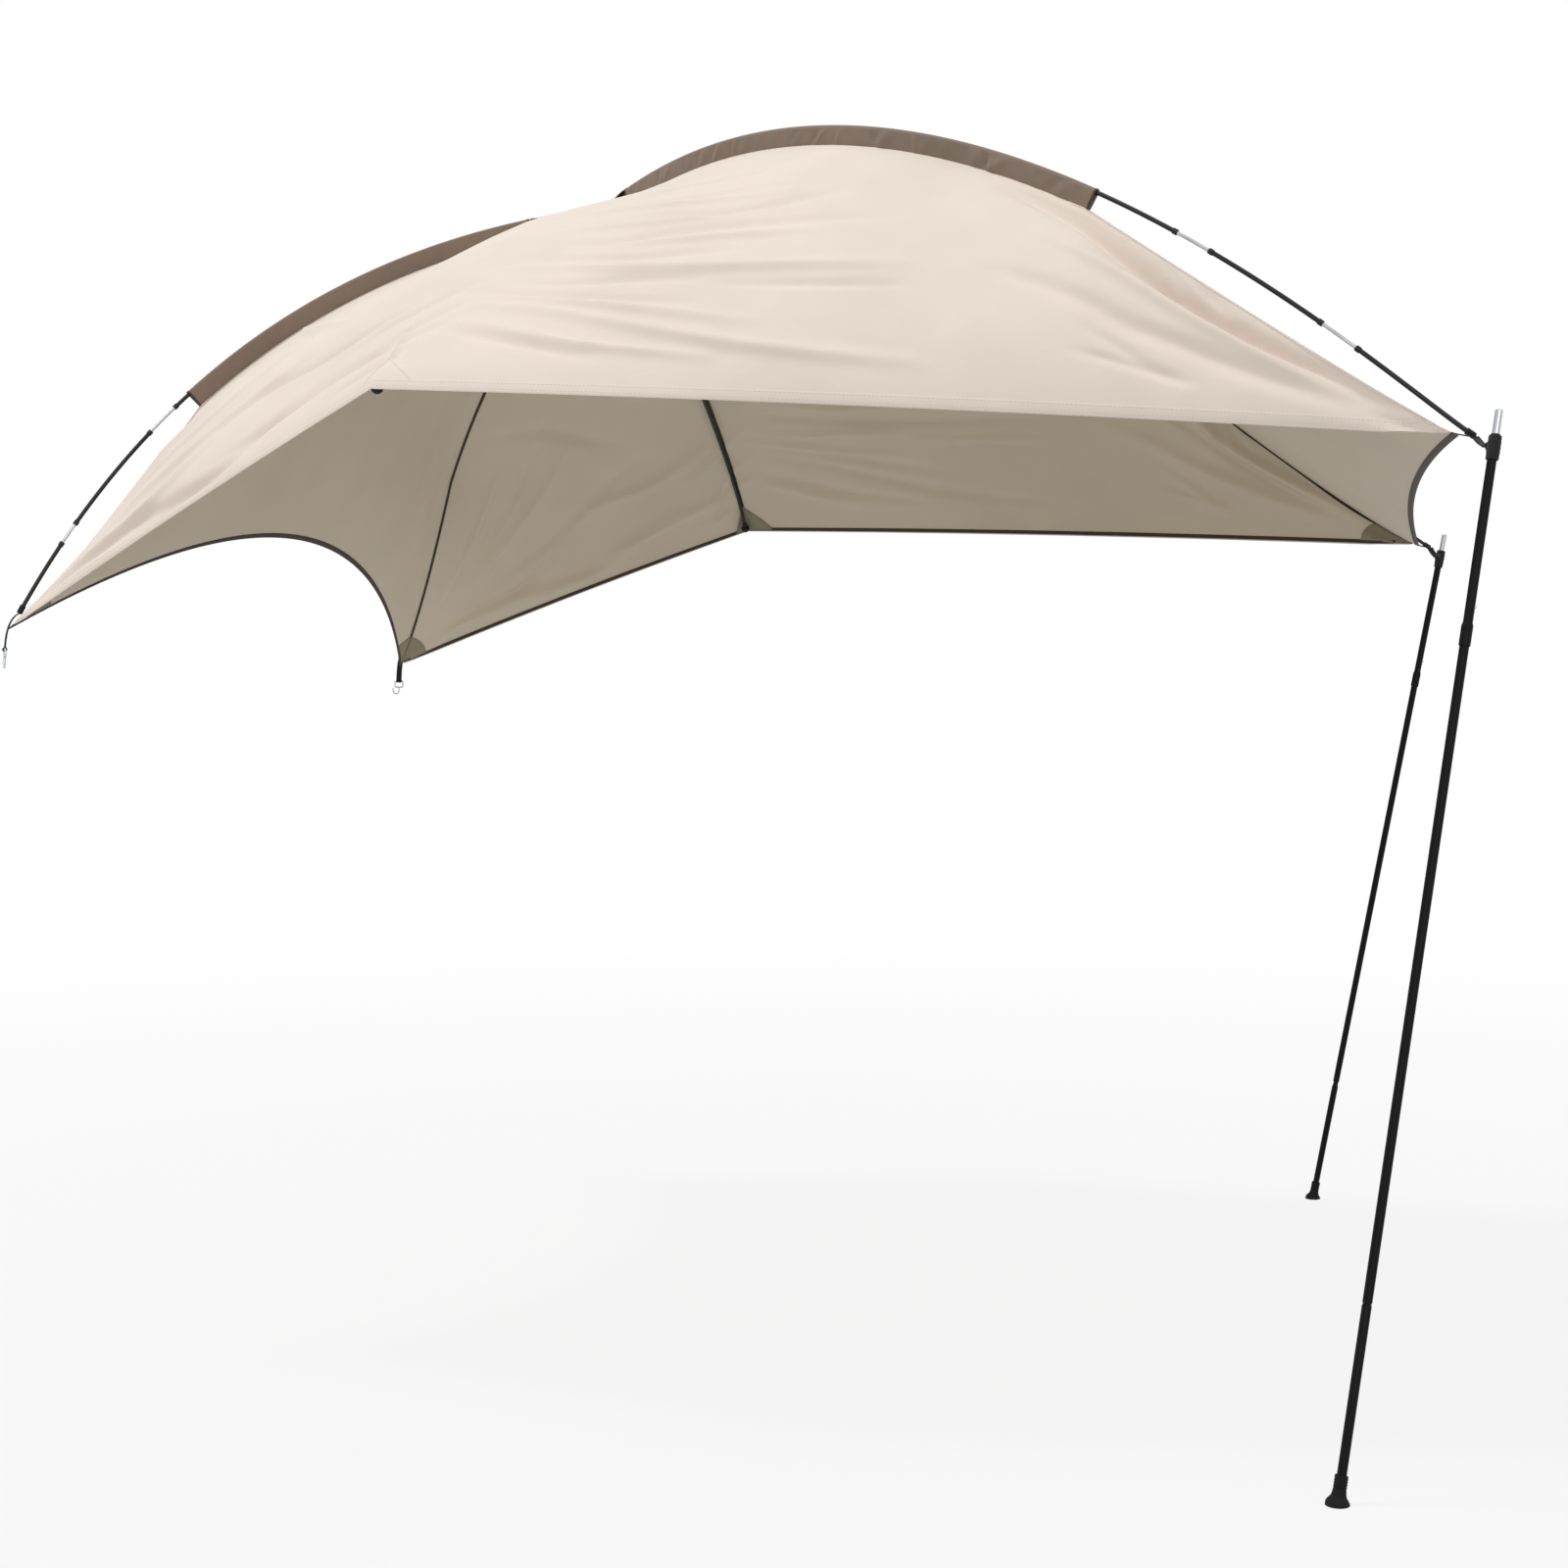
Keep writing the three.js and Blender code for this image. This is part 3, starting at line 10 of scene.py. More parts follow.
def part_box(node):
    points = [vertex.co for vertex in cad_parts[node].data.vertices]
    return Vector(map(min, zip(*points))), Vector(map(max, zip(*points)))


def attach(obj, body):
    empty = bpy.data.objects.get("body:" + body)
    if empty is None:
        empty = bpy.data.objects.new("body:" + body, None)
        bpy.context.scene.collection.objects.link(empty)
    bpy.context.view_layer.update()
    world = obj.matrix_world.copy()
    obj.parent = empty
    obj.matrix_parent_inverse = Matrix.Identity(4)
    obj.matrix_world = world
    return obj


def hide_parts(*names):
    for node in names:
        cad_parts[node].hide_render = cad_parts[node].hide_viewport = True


bl_info = {
    "name": "Tailgate tent",
    "version": (1, 0, 0),
    "blender": (4, 5, 0),
    "location": "3D View > Sidebar > Tent",
    "description": "Models the cloth, poles and webbing of a tailgate tent over its packed frame",
    "category": "Add Mesh",
}

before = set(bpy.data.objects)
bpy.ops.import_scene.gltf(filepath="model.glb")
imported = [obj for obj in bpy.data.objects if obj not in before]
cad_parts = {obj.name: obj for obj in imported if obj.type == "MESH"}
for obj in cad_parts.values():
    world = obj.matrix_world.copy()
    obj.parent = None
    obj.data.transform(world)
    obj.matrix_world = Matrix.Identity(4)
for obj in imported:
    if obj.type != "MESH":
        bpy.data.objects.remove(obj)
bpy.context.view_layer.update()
SIDES = (("left", -1), ("right", 1))

# Places of the tent in metres. The part's own numbers start at its rear corners, so X is moved
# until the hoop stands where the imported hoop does.
HOOP_SETBACK = 0.960
SHIFT = (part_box("hoop_rod")[0].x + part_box("hoop_rod")[1].x) / 2 - HOOP_SETBACK


def place(x, y, z):
    return np.array([x + SHIFT, y, z])


MILLIMETRE = 0.001
UP = np.array([0.0, 0.0, 1.0])
SLEEVE_HEIGHT = 0.034
CROWN = place(HOOP_SETBACK, 0, 2.509)
CLOTH_CROWN = CROWN - UP * SLEEVE_HEIGHT
# Two handles each of the arms and of the hoop's halves, as shares of the way along the axes.
FRONT_SHARES = ((0.483, 0.845, -0.296), (0.907, 1.048, 0.838))
REAR_SHARES = ((0.515, 0.47, 0.148), (0.8, 0.817, 0.509))
HOOP_SHARES = ((0.946, 0.214), (0.4, 1.0))
# A sleeve starts this far from the end of its arch and ends this far from the crossing.
FRONT_SLEEVE_START, FRONT_SLEEVE_END = 0.840, 0.114
REAR_SLEEVE_START, REAR_SLEEVE_END = 0.625, 0.194
# The side cloth reaches this far from the hoop to its front and to its rear corner.
FRONT_RUN, REAR_RUN = 1.89, 1.24
CORNER_TRIM = 0.006
ROD_RADIUS = 0.00425
ROD_BREAK = 0.0006
ROD_SETBACK = 0.030
COLLAR_RADIUS = 0.0055
FERRULE_RADIUS = 0.0032
POCKET_FLOOR = 0.0024
TUBE_RADIUS = 0.008
TUBE_WALL = 0.0012
TOP_LENGTH = 0.360
MIDDLE_LENGTH = 1.090
SOCKET_LENGTH = 0.034
STRAP_WIDTH = 0.016
STRAP_THICKNESS = 0.0026
NEAR = 0.002  # how far to each side a direction is read


def rear_corner(side):
    return place(0, side * 0.933, 1.489)


def middle_corner(side):
    return place(HOOP_SETBACK, side * 1.247, 1.881)


def front_corner(side):
    return place(2.831, side * 0.978, 1.759)


def front_tip(side):
    return front_corner(side) + (0.035, side * 0.010, -0.008)


def shoulder(side):
    return front_corner(side) + (0.067, side * 0.052, -0.013)


def foot_point(side):
    return place(2.643, -1.232, 0) if side < 0 else place(2.570, 1.219, 0)


# Curves and surfaces


def unit(vectors):
    return vectors / np.linalg.norm(vectors, axis=-1, keepdims=True)


def normal_to(tangents):
    """The direction square to each tangent that points most nearly upwards."""
    return unit(UP - tangents * (tangents @ UP)[..., None])


def gone_along(rows):
    """The distance of each point from the start of its row."""
    steps = np.linalg.norm(np.diff(rows, axis=1), axis=2)
    return np.concatenate([np.zeros((len(rows), 1)), np.cumsum(steps, axis=1)], axis=1)


def read(points, marks, at):
    """Points read between the marks that they stand at."""
    return np.stack([np.interp(at, marks, axis) for axis in points.T], axis=-1)


class Line:
    """A curve that is read by the share of its length."""

    def __init__(self, points):
        gone = gone_along(points[None])[0]
        self.points, self.length, self.marks = points, gone[-1], gone / gone[-1]

    def at(self, share):
        return read(self.points, self.marks, share)

    def tangent(self, share):
        share = np.asarray(share)
        return unit(self.at(np.minimum(share + NEAR, 1)) - self.at(np.maximum(share - NEAR, 0)))


def bezier(start, handle, other, end):
    t = np.linspace(0, 1, 2001)[:, None]
    near, far = 3 * (1 - t) ** 2 * t * handle, 3 * (1 - t) * t**2 * other
    return Line((1 - t) ** 3 * start + near + far + t**3 * end)


def arm(end, shares):
    way = end - CROWN
    handles = [
        np.array([CROWN[0] + run * way[0], spread * end[1], CROWN[2] + fall * way[2]])
        for run, spread, fall in shares
    ]
    return bezier(CROWN, *handles, end)


FRONT_ARM = {side: arm(front_tip(side), FRONT_SHARES) for _, side in SIDES}
REAR_ARM = {side: arm(rear_corner(side), REAR_SHARES) for _, side in SIDES}


def crossing_lift(distance):
    """How far the arches part, one up and the other down, at a distance from their crossing."""
    return 0.0052 * np.exp(-((distance / 0.040) ** 2))


class Arch:
    """A long arch, read by the distance from its front end; its rear end is on the other side."""

    def __init__(self, side):
        front, rear = FRONT_ARM[side], REAR_ARM[-side]
        self.crossing = front.length
        self.length = front.length + rear.length
        self.marks = np.linspace(0, self.length, 4001)
        share = self.marks / front.length
        points = np.where(
            (share < 1)[:, None],
            front.at(np.clip(1 - share, 0, 1)),
            rear.at(np.clip((self.marks - front.length) / rear.length, 0, 1)),
        )
        tangents = unit(np.gradient(points, axis=0))
        lift = side * crossing_lift(self.marks - self.crossing)
        self.points = points + normal_to(tangents) * lift[:, None]

    def at(self, distance):
        return read(self.points, self.marks, distance)

    def tangent(self, distance):
        return unit(self.at(np.asarray(distance) + NEAR) - self.at(np.asarray(distance) - NEAR))


ARCH = {side: Arch(side) for _, side in SIDES}


def ridge(curve, corner, sleeve_share, sag):
    """The seam under an arm, from the crown to the cloth's corner."""

    def below(share, drop):
        return curve.at(share) - normal_to(curve.tangent(share)) * np.asarray(drop)[..., None]

    # the ends are moved onto the crown and the corner; the powers let each move fade along the seam
    start_shift = CLOTH_CROWN - below(0.0, SLEEVE_HEIGHT)
    end_shift = corner - below(1.0, 0.0)

    def seam(share):
        share = np.clip(share, 0, 1)
        bare = np.maximum(0, (share - sleeve_share) / (1 - sleeve_share))
        drop = SLEEVE_HEIGHT * (1 - bare) + 4 * sag * bare * (1 - bare)
        settle = start_shift * ((1 - share) ** 40)[..., None] + end_shift * (share**8)[..., None]
        return below(share, drop) + settle

    return seam


def front_ridge(side):
    curve = FRONT_ARM[side]
    return ridge(curve, front_corner(side), 1 - FRONT_SLEEVE_START / curve.length, sag=0.032)


def rear_ridge(side):
    curve = REAR_ARM[side]
    return ridge(curve, rear_corner(side), 1 - REAR_SLEEVE_START / curve.length, sag=0.038)


def hoop_curve(side):
    corner = middle_corner(side)
    handles = [
        np.array([corner[0], spread * corner[1], corner[2] + rise * (CLOTH_CROWN[2] - corner[2])])
        for spread, rise in HOOP_SHARES
    ]
    return bezier(corner, *handles, CLOTH_CROWN)


HOOP = {side: hoop_curve(side) for _, side in SIDES}


def bowed(start, end, offset):
    """An edge from start to end whose middle is moved by the offset."""

    def edge(share):
        share = np.asarray(share, float)[..., None]
        return start * (1 - share) + end * share + 4 * share * (1 - share) * np.asarray(offset)

    return edge


def held_at(point):
    """An edge that is drawn together to one point."""
    return lambda share: np.broadcast_to(point, np.shape(share) + (3,))


def rising(share, peak):
    """0 at the start and 1 from the peak on."""
    phase = np.clip(np.asarray(share, float) / peak, 0, 1)
    return phase * phase * (3 - 2 * phase)


def swell(share, peak):
    """0 at the start, 1 at the peak, and 0 again at the end."""
    return np.where(share < peak, rising(share, peak), rising(1 - share, 1 - peak))


def grid_of(u, v):
    return np.broadcast_arrays(np.asarray(u, float), np.asarray(v, float))


class Panel:
    """A curved sheet between four edges: low and high run along u, start and end along v."""

    def __init__(self, low, high, start, end, folds=None, outside=UP, eased=False):
        self.low, self.high, self.start, self.end = low, high, start, end
        self.folds = folds or (lambda u, v: np.zeros_like(u + v))
        self.eased = eased
        self.turn = 1.0
        if self.normal(0.5, 0.5) @ np.asarray(outside) < 0:
            self.turn = -1.0

    def bare(self, u, v):
        u, v = grid_of(u, v)
        a, b = u[..., None], v[..., None]
        corners = [edge(np.array(at)) for edge in (self.start, self.end) for at in (0.0, 1.0)]
        across = self.low(u) * (1 - b) + self.high(u) * b
        if self.eased:
            across = across + self.ease(u, v)
        along = self.start(v) * (1 - a) + self.end(v) * a
        near = (corners[0] * (1 - b) + corners[1] * b) * (1 - a)
        far = (corners[2] * (1 - b) + corners[3] * b) * a
        return across + along - near - far

    def ease(self, u, v):
        """What rounds off, inside the panel, the bends that its edges have where a sleeve ends."""
        steps = np.linspace(-0.08, 0.08, 9)
        low, high = (
            sum(line(np.clip(u + step, 0, 1)) for step in steps) / len(steps) - line(u)
            for line in (self.low, self.high)
        )
        inside = rising(np.minimum(u, 1 - u), 0.15) * rising(np.minimum(v, 1 - v), 0.06)
        return (low * (1 - v[..., None]) + high * v[..., None]) * inside[..., None]

    def normal(self, u, v):
        u, v = grid_of(u, v)
        along = self.bare(np.clip(u + NEAR, 0, 1), v) - self.bare(np.clip(u - NEAR, 0, 1), v)
        across = self.bare(u, np.clip(v + NEAR, 0, 1)) - self.bare(u, np.clip(v - NEAR, 0, 1))
        return self.turn * unit(np.cross(along, across))

    def at(self, u, v, lift=0.0):
        u, v = grid_of(u, v)
        return self.bare(u, v) + self.normal(u, v) * np.asarray(self.folds(u, v) + lift)[..., None]


# Folds of the side cloth, one row each: depth (outwards is positive) and half width in millimetres,
# then the places it runs through. A place is a share of the way from the hoop to the front corner
# (or, below 0, to the rear corner) and a share of the height from the hem to the arch.
SIDE_FOLDS = (
    (-10.3, 14, ((0.16, 0.55), (0.26, 0.54), (0.282, 0.537), (0.329, 0.585), (0.374, 0.652), (0.42, 0.72))),
    (-10.3, 15, ((0.06, 0.44), (0.166, 0.415), (0.225, 0.458), (0.324, 0.508), (0.47, 0.62))),
    (8.5, 11, ((0.16, 0.40), (0.223, 0.415), (0.290, 0.443), (0.40, 0.51))),
    (-8.5, 12, ((0.05, 0.375), (0.176, 0.355), (0.230, 0.367), (0.33, 0.41))),
    (12.2, 15, ((0.05, 0.33), (0.126, 0.325), (0.203, 0.318), (0.302, 0.338), (0.401, 0.383), (0.50, 0.45))),
    (-7.4, 11, ((0.08, 0.272), (0.166, 0.273), (0.205, 0.285), (0.30, 0.30))),
    (-6.5, 11, ((0.30, 0.285), (0.349, 0.297), (0.401, 0.315), (0.50, 0.36))),
    (-8.5, 12, ((0.03, 0.252), (0.141, 0.230), (0.198, 0.228), (0.30, 0.225))),
    (10.3, 13, ((0.04, 0.235), (0.109, 0.223), (0.176, 0.212), (0.265, 0.198), (0.36, 0.19))),
    (12.2, 15, (
        (0.04, 0.215), (0.148, 0.188), (0.230, 0.155), (0.324, 0.130), (0.416, 0.122), (0.53, 0.125),
    )),
    (9.4, 11, ((0.03, 0.165), (0.082, 0.145), (0.161, 0.110), (0.215, 0.098), (0.33, 0.09))),
    (-7.4, 11, ((0.03, 0.14), (0.069, 0.125), (0.148, 0.092), (0.22, 0.07))),
    (-7.4, 12, ((0.06, 0.63), (0.15, 0.62), (0.25, 0.63), (0.33, 0.69), (0.38, 0.76))),
    (-7.4, 11, ((0.10, 0.72), (0.18, 0.71), (0.27, 0.75), (0.33, 0.82))),
    (8.5, 11, ((0.07, 0.49), (0.19, 0.485), (0.29, 0.535), (0.38, 0.60))),
    (8.5, 11, ((0.05, 0.585), (0.15, 0.585), (0.26, 0.595), (0.35, 0.66))),
    (-8.5, 12, ((0.06, 0.288), (0.035, 0.273), (0.010, 0.228), (-0.047, 0.203), (-0.14, 0.165))),
    (-8.5, 11, ((0.06, 0.215), (0.040, 0.203), (0.007, 0.158), (-0.064, 0.092), (-0.09, 0.06))),
    (-7.4, 11, ((0.03, 0.12), (0.017, 0.107), (-0.015, 0.060), (-0.13, 0.04))),
    (-9.4, 16, ((0.0, 0.41), (-0.022, 0.432), (-0.144, 0.515), (-0.20, 0.55))),
    (-34.0, 21, (
        (0.56, 0.95), (0.66, 0.93), (0.70, 0.87), (0.755, 0.80), (0.802, 0.79), (0.85, 0.80), (0.96, 0.88),
    )),
    (11.5, 15, ((0.60, 0.74), (0.68, 0.71), (0.76, 0.64), (0.84, 0.63), (0.92, 0.68))),
    (-7.4, 10, ((0.71, 0.96), (0.725, 0.907), (0.735, 0.843), (0.755, 0.74))),
    (-8.5, 11, ((0.735, 0.99), (0.745, 0.94), (0.757, 0.873), (0.78, 0.77))),
    (-7.4, 10, ((0.77, 0.995), (0.783, 0.94), (0.80, 0.875))),
    (-15.8, 20, (
        (0.56, 0.50), (0.661, 0.50), (0.70, 0.45), (0.745, 0.453), (0.804, 0.43), (0.896, 0.47), (0.96, 0.70),
    )),
    (-6.5, 11, ((0.66, 0.36), (0.703, 0.302), (0.725, 0.245), (0.77, 0.20))),
    (-5.6, 10, ((0.65, 0.24), (0.713, 0.233), (0.77, 0.19))),
    (-5.6, 10, ((0.93, 0.40), (0.948, 0.295), (0.983, 0.06))),
    (-12.2, 16, (
        (0.0, 0.27), (-0.045, 0.255), (-0.166, 0.235), (-0.243, 0.240), (-0.349, 0.285), (-0.47, 0.25),
    )),
    (-11.3, 16, (
        (-0.02, 0.11), (-0.233, 0.118), (-0.384, 0.055), (-0.621, 0.058), (-0.819, 0.258), (-0.90, 0.35),
    )),
    (12.2, 20, ((-0.20, 0.38), (-0.277, 0.460), (-0.40, 0.70), (-0.532, 0.958))),
    (-11.3, 15, ((-0.35, 0.05), (-0.428, 0.050), (-0.743, 0.195), (-0.893, 0.245), (-0.96, 0.3))),
    (10.3, 13, ((-0.45, 0.25), (-0.505, 0.208), (-0.614, 0.128), (-0.799, 0.253), (-0.92, 0.40))),
    (-9.4, 13, ((0.06, 0.17), (-0.027, 0.105), (-0.183, 0.098), (-0.351, 0.092), (-0.45, 0.10))),
    (10.3, 15, ((-0.20, 0.34), (-0.285, 0.315), (-0.411, 0.283), (-0.517, 0.258), (-0.76, 0.30))),
    (-10.3, 15, ((-0.30, 0.56), (-0.45, 0.46), (-0.62, 0.41), (-0.80, 0.44))),
    (9.4, 15, ((-0.34, 0.70), (-0.48, 0.58), (-0.66, 0.52), (-0.84, 0.58))),
    (-9.4, 13, ((-0.50, 0.76), (-0.62, 0.66), (-0.76, 0.64), (-0.90, 0.72))),
)
# How far the side cloth sags between its seams, in millimetres, along it.
SAG_PLACES = (-1.0, -0.8, -0.55, -0.4, -0.2, -0.12, -0.05, 0.0, 0.05, 0.11, 0.17, 0.3, 0.5, 0.8, 1.0)
SAGS = (0.0, 9.0, 19.0, 24.0, 30.0, 22.0, 11.0, 6.0, 16.0, 26.0, 24.0, 15.0, 9.0, 4.0, 0.0)
# Creases of the roof cloth, one row each: the shares across the cloth at which one begins and ends,
# the shares along it where it begins, is deepest and ends, its depth in millimetres and its width
# as a share.
ROOF_CREASES = (
    (0.10, 0.06, 0.30, 0.60, 0.95, 3.0, 0.030),
    (0.20, 0.14, 0.45, 0.60, 0.98, 2.6, 0.030),
    (0.90, 0.94, 0.30, 0.60, 0.95, 3.0, 0.030),
    (0.80, 0.86, 0.45, 0.60, 0.98, 2.6, 0.030),
)


def creased(rows, sizes):
    """The height of the folds over the smooth roof, in metres."""

    def height(u, v):
        total = np.zeros(np.broadcast(u, v).shape)
        edge = np.clip(v / 0.05, 0, 1) * np.clip((1 - v) / 0.05, 0, 1)
        for start_height, end_height, start, peak, end, depth, width in rows:
            along = (u - start) / (end - start)
            middle = start_height + (end_height - start_height) * np.clip(along, 0, 1)
            over = (v - middle) / width
            # a crease has a shallower hollow beside it
            roll = np.exp(-(over**2)) - 0.35 * np.exp(-(((over - 1.3) / 1.2) ** 2))
            total += MILLIMETRE * depth * roll * swell(along, peak)
        return total * edge * sizes.fold_depth

    return height


def rounded(line):
    """The line with its corners cut twice."""
    for _ in range(2):
        before, after = line[:-1], line[1:]
        cut = np.stack([before * 0.75 + after * 0.25, before * 0.25 + after * 0.75], axis=1)
        line = np.concatenate([line[:1], cut.reshape(-1, 2), line[-1:]])
    return line


def rolled(x, y, line, width):
    """A fold along a line: 1 on it, 0 beside it and past both of its ends."""
    height = np.zeros(x.shape)
    reach = 3 * width  # where a fold has died away
    near = (x > line[:, 0].min() - reach) & (x < line[:, 0].max() + reach)
    near &= (y > line[:, 1].min() - reach) & (y < line[:, 1].max() + reach)
    x, y = x[near], y[near]
    nearest, share = np.full(x.shape, np.inf), np.zeros(x.shape)
    marks = Line(line).marks
    for (first, second), (low, high) in zip(zip(line, line[1:]), zip(marks, marks[1:])):
        run = second - first
        part = np.clip(((x - first[0]) * run[0] + (y - first[1]) * run[1]) / (run @ run), 0, 1)
        away = (x - first[0] - part * run[0]) ** 2 + (y - first[1] - part * run[1]) ** 2
        closer = away < nearest
        nearest = np.where(closer, away, nearest)
        share = np.where(closer, low + (high - low) * part, share)
    height[near] = np.exp(-nearest / width**2) * np.sin(np.pi * share) ** 0.8
    return height


def cloth_panels(sizes):
    """The smooth panels of the canopy, by name."""
    panels = {}
    for name, side in SIDES:
        for part, corner, high in (
            ("front", front_corner(side), front_ridge(side)),
            ("rear", rear_corner(side), rear_ridge(side)),
        ):
            hem = bowed(middle_corner(side), corner, UP * 0.008)
            panels[name, part] = Panel(hem, high, HOOP[side].at, held_at(corner), outside=(0, side, 0.5))
    crown = held_at(CLOTH_CROWN)
    # the front edge is nearly straight and the rear one is cut up into an arch
    front_edge = bowed(front_corner(-1), front_corner(1), (-0.039, 0, 0.023))
    rear_edge = bowed(rear_corner(-1), rear_corner(1), (0.180, 0, 0.270))
    creases = creased(ROOF_CREASES, sizes)
    panels["front"] = Panel(front_ridge(-1), front_ridge(1), crown, front_edge, creases, UP, True)
    panels["rear"] = Panel(rear_ridge(-1), rear_ridge(1), crown, rear_edge, creases, (-1, 0, 1), True)
    return panels


ROUNDING = 0.10  # how far from the hoop the side cloth bends round it
HOOP_ROOM = 0.0105  # from the panels' common edge down to the middle of the cloth that lies on the rod


class SideCloth:
    """Both halves of a side, read by a share from -1 at the rear corner over 0 at the hoop to 1."""

    def __init__(self, panels, name, sizes):
        self.front, self.rear = panels[name, "front"], panels[name, "rear"]
        self.depth = sizes.fold_depth
        # the folds of the right side lie a little farther back
        self.moved = 0.0 if name == "left" else -0.012

    def _pick(self, s, front, rear):
        return np.where((s >= 0)[..., None], front, rear)

    def normal(self, s, v):
        s, v = grid_of(s, v)
        u = np.abs(s)
        raw = self._pick(s, self.front.normal(u, v), self.rear.normal(u, v))
        near = self._near(s, v)[..., None]
        return unit(raw * (1 - near) + self._seam(v)[0] * near)

    def _near(self, s, v):
        """1 at the hoop and 0 where the cloth no longer bends round it."""
        return np.clip(1 - np.abs(s) * self._run(s, v) / ROUNDING, 0, 1)

    def _run(self, s, v):
        """The distance from the hoop to the corner."""
        ends = self._pick(s, self.front.end(v), self.rear.end(v))
        return np.linalg.norm(ends - self.front.start(v), axis=-1)

    def _seam(self, v):
        """The way that the cloth faces over the hoop, and the angle that it bends by there."""
        ahead, behind = self.front.normal(0.01, v), self.rear.normal(0.01, v)
        angle = np.arccos(np.clip((ahead * behind).sum(-1), -1, 1))
        return unit(ahead + behind), angle

    def _chart(self, s, v):
        """Distances along and up the cloth, in metres."""
        u = np.abs(s)
        height = [np.linalg.norm(half.high(u) - half.low(u), axis=-1) for half in (self.front, self.rear)]
        return s * np.where(s >= 0, FRONT_RUN, REAR_RUN), v * np.where(s >= 0, *height)

    def _folds(self, s, v):
        x, y = self._chart(s, v)
        total = np.zeros(x.shape)
        for depth, width, places in SIDE_FOLDS:
            across, up = self._chart(*(np.array(places) + (self.moved, 0)).T)
            # light from above falls beside the middle of a fold
            line = rounded(np.stack([across, up - 0.0007 * width], axis=-1))
            total += MILLIMETRE * depth * rolled(x, y, line, MILLIMETRE * width)
        return total * self.depth * np.clip(v / 0.04, 0, 1) * np.clip((1 - v) / 0.05, 0, 1)

    def _sag(self, s, v):
        """Deepest at four fifths of the height, where v**4 * (1 - v) is 0.08192."""
        return MILLIMETRE * np.interp(s, SAG_PLACES, SAGS) * v**4 * (1 - v) / 0.08192

    def at(self, s, v, lift=0.0):
        s, v = grid_of(s, v)
        u = np.abs(s)
        points = self._pick(s, self.front.at(u, v), self.rear.at(u, v))
        normal, angle = self._seam(v)
        # the bend begins above the ball on the end of the hoop
        fall = angle * ROUNDING / 4 * self._near(s, v) ** 2 * rising(v, 0.08)
        height = self._folds(s, v) - self._sag(s, v)
        # over the hoop the cloth sinks no deeper than onto the rod
        room = HOOP_ROOM + 0.5 * np.abs(s) * self._run(s, v)
        height = np.maximum(height, fall - room) + lift
        return points - normal * fall[..., None] + self.normal(s, v) * height[..., None]


# Modelling helpers


def require(condition, message):
    if not condition:
        raise RuntimeError(message)


def activate(*objects):
    bpy.ops.object.select_all(action="DESELECT")
    for obj in objects:
        obj.select_set(True)
    bpy.context.view_layer.objects.active = objects[0]


def added(name, operator, **settings):
    """The new object that an operator makes."""
    bpy.ops.object.select_all(action="DESELECT")
    operator(**settings)
    obj = bpy.context.object
    obj.name = obj.data.name = name
    return obj


def edit(obj, *steps):
    """Runs edit-mode operators on the whole mesh."""
    activate(obj)
    bpy.ops.object.mode_set(mode="EDIT")
    bpy.ops.mesh.select_all(action="SELECT")
    for step, settings in steps:
        step(**settings)
    bpy.ops.object.mode_set(mode="OBJECT")


SELECT_ALL = (bpy.ops.mesh.select_all, {"action": "SELECT"})
FACE_OUTWARDS = (bpy.ops.mesh.normals_make_consistent, {"inside": False})


def merge(distance):
    return bpy.ops.mesh.remove_doubles, {"threshold": distance}


def apply_modifier(obj, kind, **settings):
    modifier = obj.modifiers.new(kind.title(), kind)
    for key, value in settings.items():
        setattr(modifier, key, value)
    activate(obj)
    bpy.ops.object.modifier_apply(modifier=modifier.name)


def thicken(obj, thickness, **settings):
    """Gives a sheet its thickness, half of it to each side."""
    apply_modifier(obj, "SOLIDIFY", thickness=thickness, offset=0, **settings)


def soften(obj, width):
    """Rounds the edges of a strap."""
    corner = math.radians(50)
    apply_modifier(obj, "BEVEL", width=width, segments=2, limit_method="ANGLE", angle_limit=corner)


def drill(obj, radius, depth, sides, centre):
    """Cuts a round hole along X."""
    settings = {"vertices": sides, "radius": radius, "depth": depth}
    turn = (0, math.pi / 2, 0)
    bit = added("bit", bpy.ops.mesh.primitive_cylinder_add, location=centre, rotation=turn, **settings)
    apply_modifier(obj, "BOOLEAN", operation="DIFFERENCE", object=bit, solver="EXACT")
    bpy.data.objects.remove(bit)


def area_of(obj):
    return sum(polygon.area for polygon in obj.data.polygons)


def mapped(obj, places):
    """Gives each vertex its place on the flat cloth, in metres."""
    corners = np.zeros(len(obj.data.loops), np.int32)
    obj.data.loops.foreach_get("vertex_index", corners)
    obj.data.uv_layers.active.data.foreach_set("uv", places[corners].reshape(-1).astype(np.float32))


def laid_grid(name, points, outside):
    """A grid laid over rows of points, with a UV map in metres along and across it."""
    rows, columns = points.shape[:2]
    i, j = rows // 2, columns // 2
    across_it = points[i, min(j + 1, columns - 1)] - points[i, j - 1]
    normal = np.cross(across_it, points[min(i + 1, rows - 1), j] - points[i - 1, j])
    if normal @ np.asarray(outside, float) < 0:
        points = points[:, ::-1]
    counts = {"x_subdivisions": columns - 1, "y_subdivisions": rows - 1}
    obj = added(name, bpy.ops.mesh.primitive_grid_add, size=1, **counts)
    require(len(obj.data.vertices) == rows * columns, f"{name}: the grid has another number of points")
    obj.data.vertices.foreach_set("co", points.reshape(-1).astype(np.float32))
    across = gone_along(points)
    across -= across[:, j][:, None]
    down = gone_along(points[None, :, j])[0]
    mapped(obj, np.stack([across, np.broadcast_to(down[:, None], across.shape)], axis=-1).reshape(-1, 2))
    obj.data.update()
    return obj


def dressed(obj, *materials):
    obj.data.materials.clear()
    for material in materials:
        obj.data.materials.append(material)
    return obj


